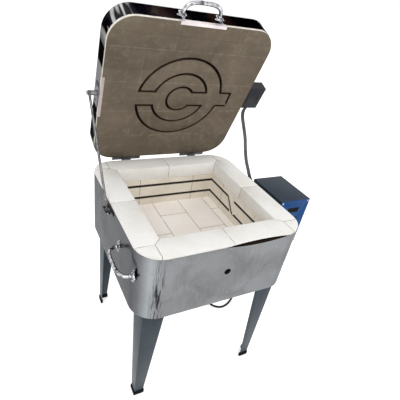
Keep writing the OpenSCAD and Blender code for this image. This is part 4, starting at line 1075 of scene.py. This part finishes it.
RIGHT, BACK, UP = Vector((1, 0, 0)), Vector((0, 1, 0)), Vector((0, 0, 1))
side_middle = place(-HALF, SIDE_HANDLE_Y, SIDE_HANDLE_Z)
lid_middle = on_lid(0, -LID_DEPTH, LID_THICK / 2)
lid_out = (on_lid(0, -LID_DEPTH - 10, 0) - on_lid(0, -LID_DEPTH, 0)).normalized()
lid_up = (on_lid(0, 0, 10) - on_lid(0, 0, 0)).normalized()
add_cast_feet("side_handle_castings", "kiln", "side_handle_feet", side_middle, BACK, UP, -RIGHT,
              SIDE_HANDLE_SPAN)
add_cast_feet("lid_handle_castings", "lid", "lid_handle_feet", lid_middle, RIGHT, lid_up, lid_out,
              LID_HANDLE_SPAN)
add_bow("side_handle_arch", "kiln", "side_handle_bow", side_middle, BACK, -RIGHT, SIDE_HANDLE_SPAN)
add_bow("lid_handle_arch", "lid", "lid_handle_bow", lid_middle, RIGHT, lid_out, LID_HANDLE_SPAN)


# Boxes and stand

for leg_name in ("leg_front_left", "leg_front_right", "leg_rear_left", "leg_rear_right"):
    eased_piece(leg_name, LEG, "kiln", 0.5, 2)
eased_piece("rubber_feet", RUBBER, "kiln", 1.0, 2)
eased_piece("control_cover", SLATE, "kiln", 0.6, 2)
eased_piece("control_panel", BLUE, "kiln", 0.5, 2)
eased_piece("junction_cover", GRAPHITE, "lid", 0.6, 2)


# Screws

def screw_head(radius, height):
    """A domed head with a cross recess, its seat at z = 0."""
    bm = bmesh.new()
    rows = 5
    spokes = 24
    last = []
    for i in range(rows + 1):
        a = math.pi / 2 * i / rows
        r, z = radius * math.cos(a), height * (0.25 + 0.75 * math.sin(a))
        if i == rows:
            last.append([bm.verts.new((0, 0, z))])
        else:
            last.append([bm.verts.new((r * math.cos(2 * math.pi * k / spokes),
                                       r * math.sin(2 * math.pi * k / spokes), z))
                         for k in range(spokes)])
    foot = [bm.verts.new((v.co.x, v.co.y, -0.3)) for v in last[0]]
    for k in range(spokes):
        m = (k + 1) % spokes
        bm.faces.new((foot[k], foot[m], last[0][m], last[0][k]))
        for i in range(rows - 1):
            bm.faces.new((last[i][k], last[i][m], last[i + 1][m], last[i + 1][k]))
        bm.faces.new((last[rows - 1][k], last[rows - 1][m], last[rows][0]))
    bm.faces.new(foot[::-1])
    for v in bm.verts:
        v.co /= 1000
    bmesh.ops.recalc_face_normals(bm, faces=bm.faces)
    head = linked("screw_head", mesh_of("screw_head", bm))
    size = Matrix.Diagonal((radius * 1.1 / 1000, radius * 0.26 / 1000, height * 1.1 / 1000, 1))
    for turn in (0, math.pi / 2):
        slot = bmesh.new()
        bmesh.ops.create_cube(slot, size=1.0)
        slot.transform(Matrix.Rotation(turn, 4, "Z")
                       @ Matrix.Translation((0, 0, height * 0.95 / 1000)) @ size)
        cut_from(head, linked("slot_cutter", mesh_of("slot_cutter", slot)))
    return head


def screws_tree():
    """Sets one head on each point, facing along the point's own direction."""
    tree = new_tree("screw_rows", [("Head", "NodeSocketObject", None),
                                   ("Size", "NodeSocketFloat", 1.0), ("Seed", "NodeSocketInt", 3),
                                   ("Metal", "NodeSocketMaterial", None)])
    given = add_node(tree, "NodeGroupInput").outputs
    head = add_node(tree, "GeometryNodeObjectInfo", {"Object": given["Head"]}).outputs["Geometry"]
    facing = add_node(tree, "GeometryNodeInputNamedAttribute", {"Name": "facing"},
                       data_type="FLOAT_VECTOR").outputs["Attribute"]
    turned = add_node(tree, "FunctionNodeAlignRotationToVector", {"Vector": facing}, axis="Z").outputs[0]
    spin = add_node(tree, "FunctionNodeRandomValue", {"Seed": given["Seed"]}, data_type="FLOAT_VECTOR")
    for socket in spin.inputs:
        if socket.name == "Max" and socket.type == "VECTOR":
            socket.default_value = (0, 0, math.pi)
    own = add_node(tree, "FunctionNodeEulerToRotation", {0: spin.outputs[0]}).outputs[0]
    both = add_node(tree, "FunctionNodeRotateRotation", {"Rotation": turned, "Rotate By": own},
                     rotation_space="LOCAL").outputs[0]
    placed = add_node(tree, "GeometryNodeInstanceOnPoints", {
        "Points": given["Geometry"], "Instance": head, "Rotation": both,
        "Scale": given["Size"]}).outputs[0]
    real = add_node(tree, "GeometryNodeRealizeInstances", {0: placed}).outputs[0]
    done = add_node(tree, "GeometryNodeSetMaterial", {"Geometry": real, "Material": given["Metal"]})
    tree.links.new(done.outputs[0], add_node(tree, "NodeGroupOutput").inputs[0])
    return tree


SCREWS = screws_tree()


def add_screws(name, places, radius, height, body, node):
    """A row of screw heads: each place is a point and the way it faces."""
    mesh = bpy.data.meshes.new(name)
    mesh.from_pydata([tuple(place(*p)) for p, d in places], [], [])
    facing = mesh.attributes.new("facing", "FLOAT_VECTOR", "POINT")
    for i, (p, d) in enumerate(places):
        facing.data[i].vector = d
    piece = linked(name, mesh)
    head = screw_head(radius, height)
    run_tree(piece, SCREWS, {"Head": head, "Size": 1.0, "Seed": 3, "Metal": PLATED})
    bpy.data.objects.remove(head)
    piece.data.shade_smooth()
    piece.data.set_sharp_from_angle(angle=math.radians(40))
    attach(piece, body)
    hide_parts(node)


HINGE_SCREW_X, HINGE_SCREW_DROP = 36, 30
CORNER_IN, SIDE_IN, SIDE_UP = 8, 20, 12
hinge_places = [((s * HINGE_X + t * HINGE_SCREW_X, HALF + HINGE_LEAF, HINGE_Z - HINGE_SCREW_DROP), (0, 1, 0))
                for s in (-1, 1) for t in (-1, 1)]
add_screws("hinge_screw_heads", hinge_places, 4.0, 2.0, "kiln", "hinge_screws")
panel_places = [((BOX_X + BOX_W / 2 + s * (BOX_W / 2 - CORNER_IN), BOX_FRONT, BOX_FLOOR + z), (0, -1, 0))
                for s in (-1, 1) for z in (CORNER_IN, BOX_TOP - BOX_FLOOR - CORNER_IN)]
panel_places += [((BOX_X + BOX_W, y, BOX_FLOOR + SIDE_UP), (1, 0, 0))
                 for y in (BOX_FRONT + SIDE_IN, BOX_REAR - SIDE_IN)]
add_screws("panel_screw_heads", panel_places, 3.5, 1.55, "kiln", "panel_screws")


# The room

def add_room():
    scene = bpy.context.scene
    scene.view_settings.view_transform = "Standard"
    world = bpy.data.worlds.new("studio")
    scene.world = world
    world.use_nodes = True
    tree = world.node_tree
    tree.nodes.clear()
    seen = add_node(tree, "ShaderNodeBackground", {"Color": (1, 1, 1, 1), "Strength": 1.0})
    soft = add_node(tree, "ShaderNodeBackground", {"Color": (1, 1, 1, 1), "Strength": 0.85})
    ray = add_node(tree, "ShaderNodeLightPath").outputs
    shown = maths_node(tree, "MAXIMUM", ray["Is Camera Ray"], ray["Is Glossy Ray"])
    shown = maths_node(tree, "MAXIMUM", shown, ray["Is Transmission Ray"])
    mix = add_node(tree, "ShaderNodeMixShader", {0: shown, 1: soft.outputs[0], 2: seen.outputs[0]})
    add_node(tree, "ShaderNodeOutputWorld", {"Surface": mix.outputs[0]})
    add_floor()
    for name, where, size, power in (("key", (-1.6, -2.0, 3.2), 2.4, 44),
                                     ("fill", (2.4, -1.4, 2.2), 2.2, 16),
                                     ("rim", (0.4, 2.6, 2.8), 2.4, 20)):
        light = bpy.data.lights.new(name, "AREA")
        light.size = size
        light.energy = power
        lamp = linked(name, light)
        lamp.location = where
        lamp.rotation_mode = "QUATERNION"
        lamp.rotation_quaternion = (Vector((0, 0, 0.6)) - Vector(where)).to_track_quat("-Z", "Y")


def add_floor():
    f = Finish("pale_floor", rough=0.9, specular=0.1)
    f.colour(f.blend(f.span(f.clouds(3, 2), 0.3, 0.7), (0.86, 0.86, 0.86, 1), (0.9, 0.9, 0.9, 1)))
    ray = f.node("ShaderNodeLightPath").outputs
    seen = f.maths("MAXIMUM", ray["Is Camera Ray"], ray["Is Glossy Ray"])
    f.shader.inputs["Emission Color"].default_value = (1, 1, 1, 1)
    f.tree.links.new(f.maths("MULTIPLY", seen, 0.5), f.shader.inputs["Emission Strength"])
    mesh = bpy.data.meshes.new("floor")
    mesh.from_pydata([(-14, -14, 0), (14, -14, 0), (14, 14, 0), (-14, 14, 0)], [], [(0, 1, 2, 3)])
    mesh.materials.append(f.material)
    linked("floor", mesh)


add_room()
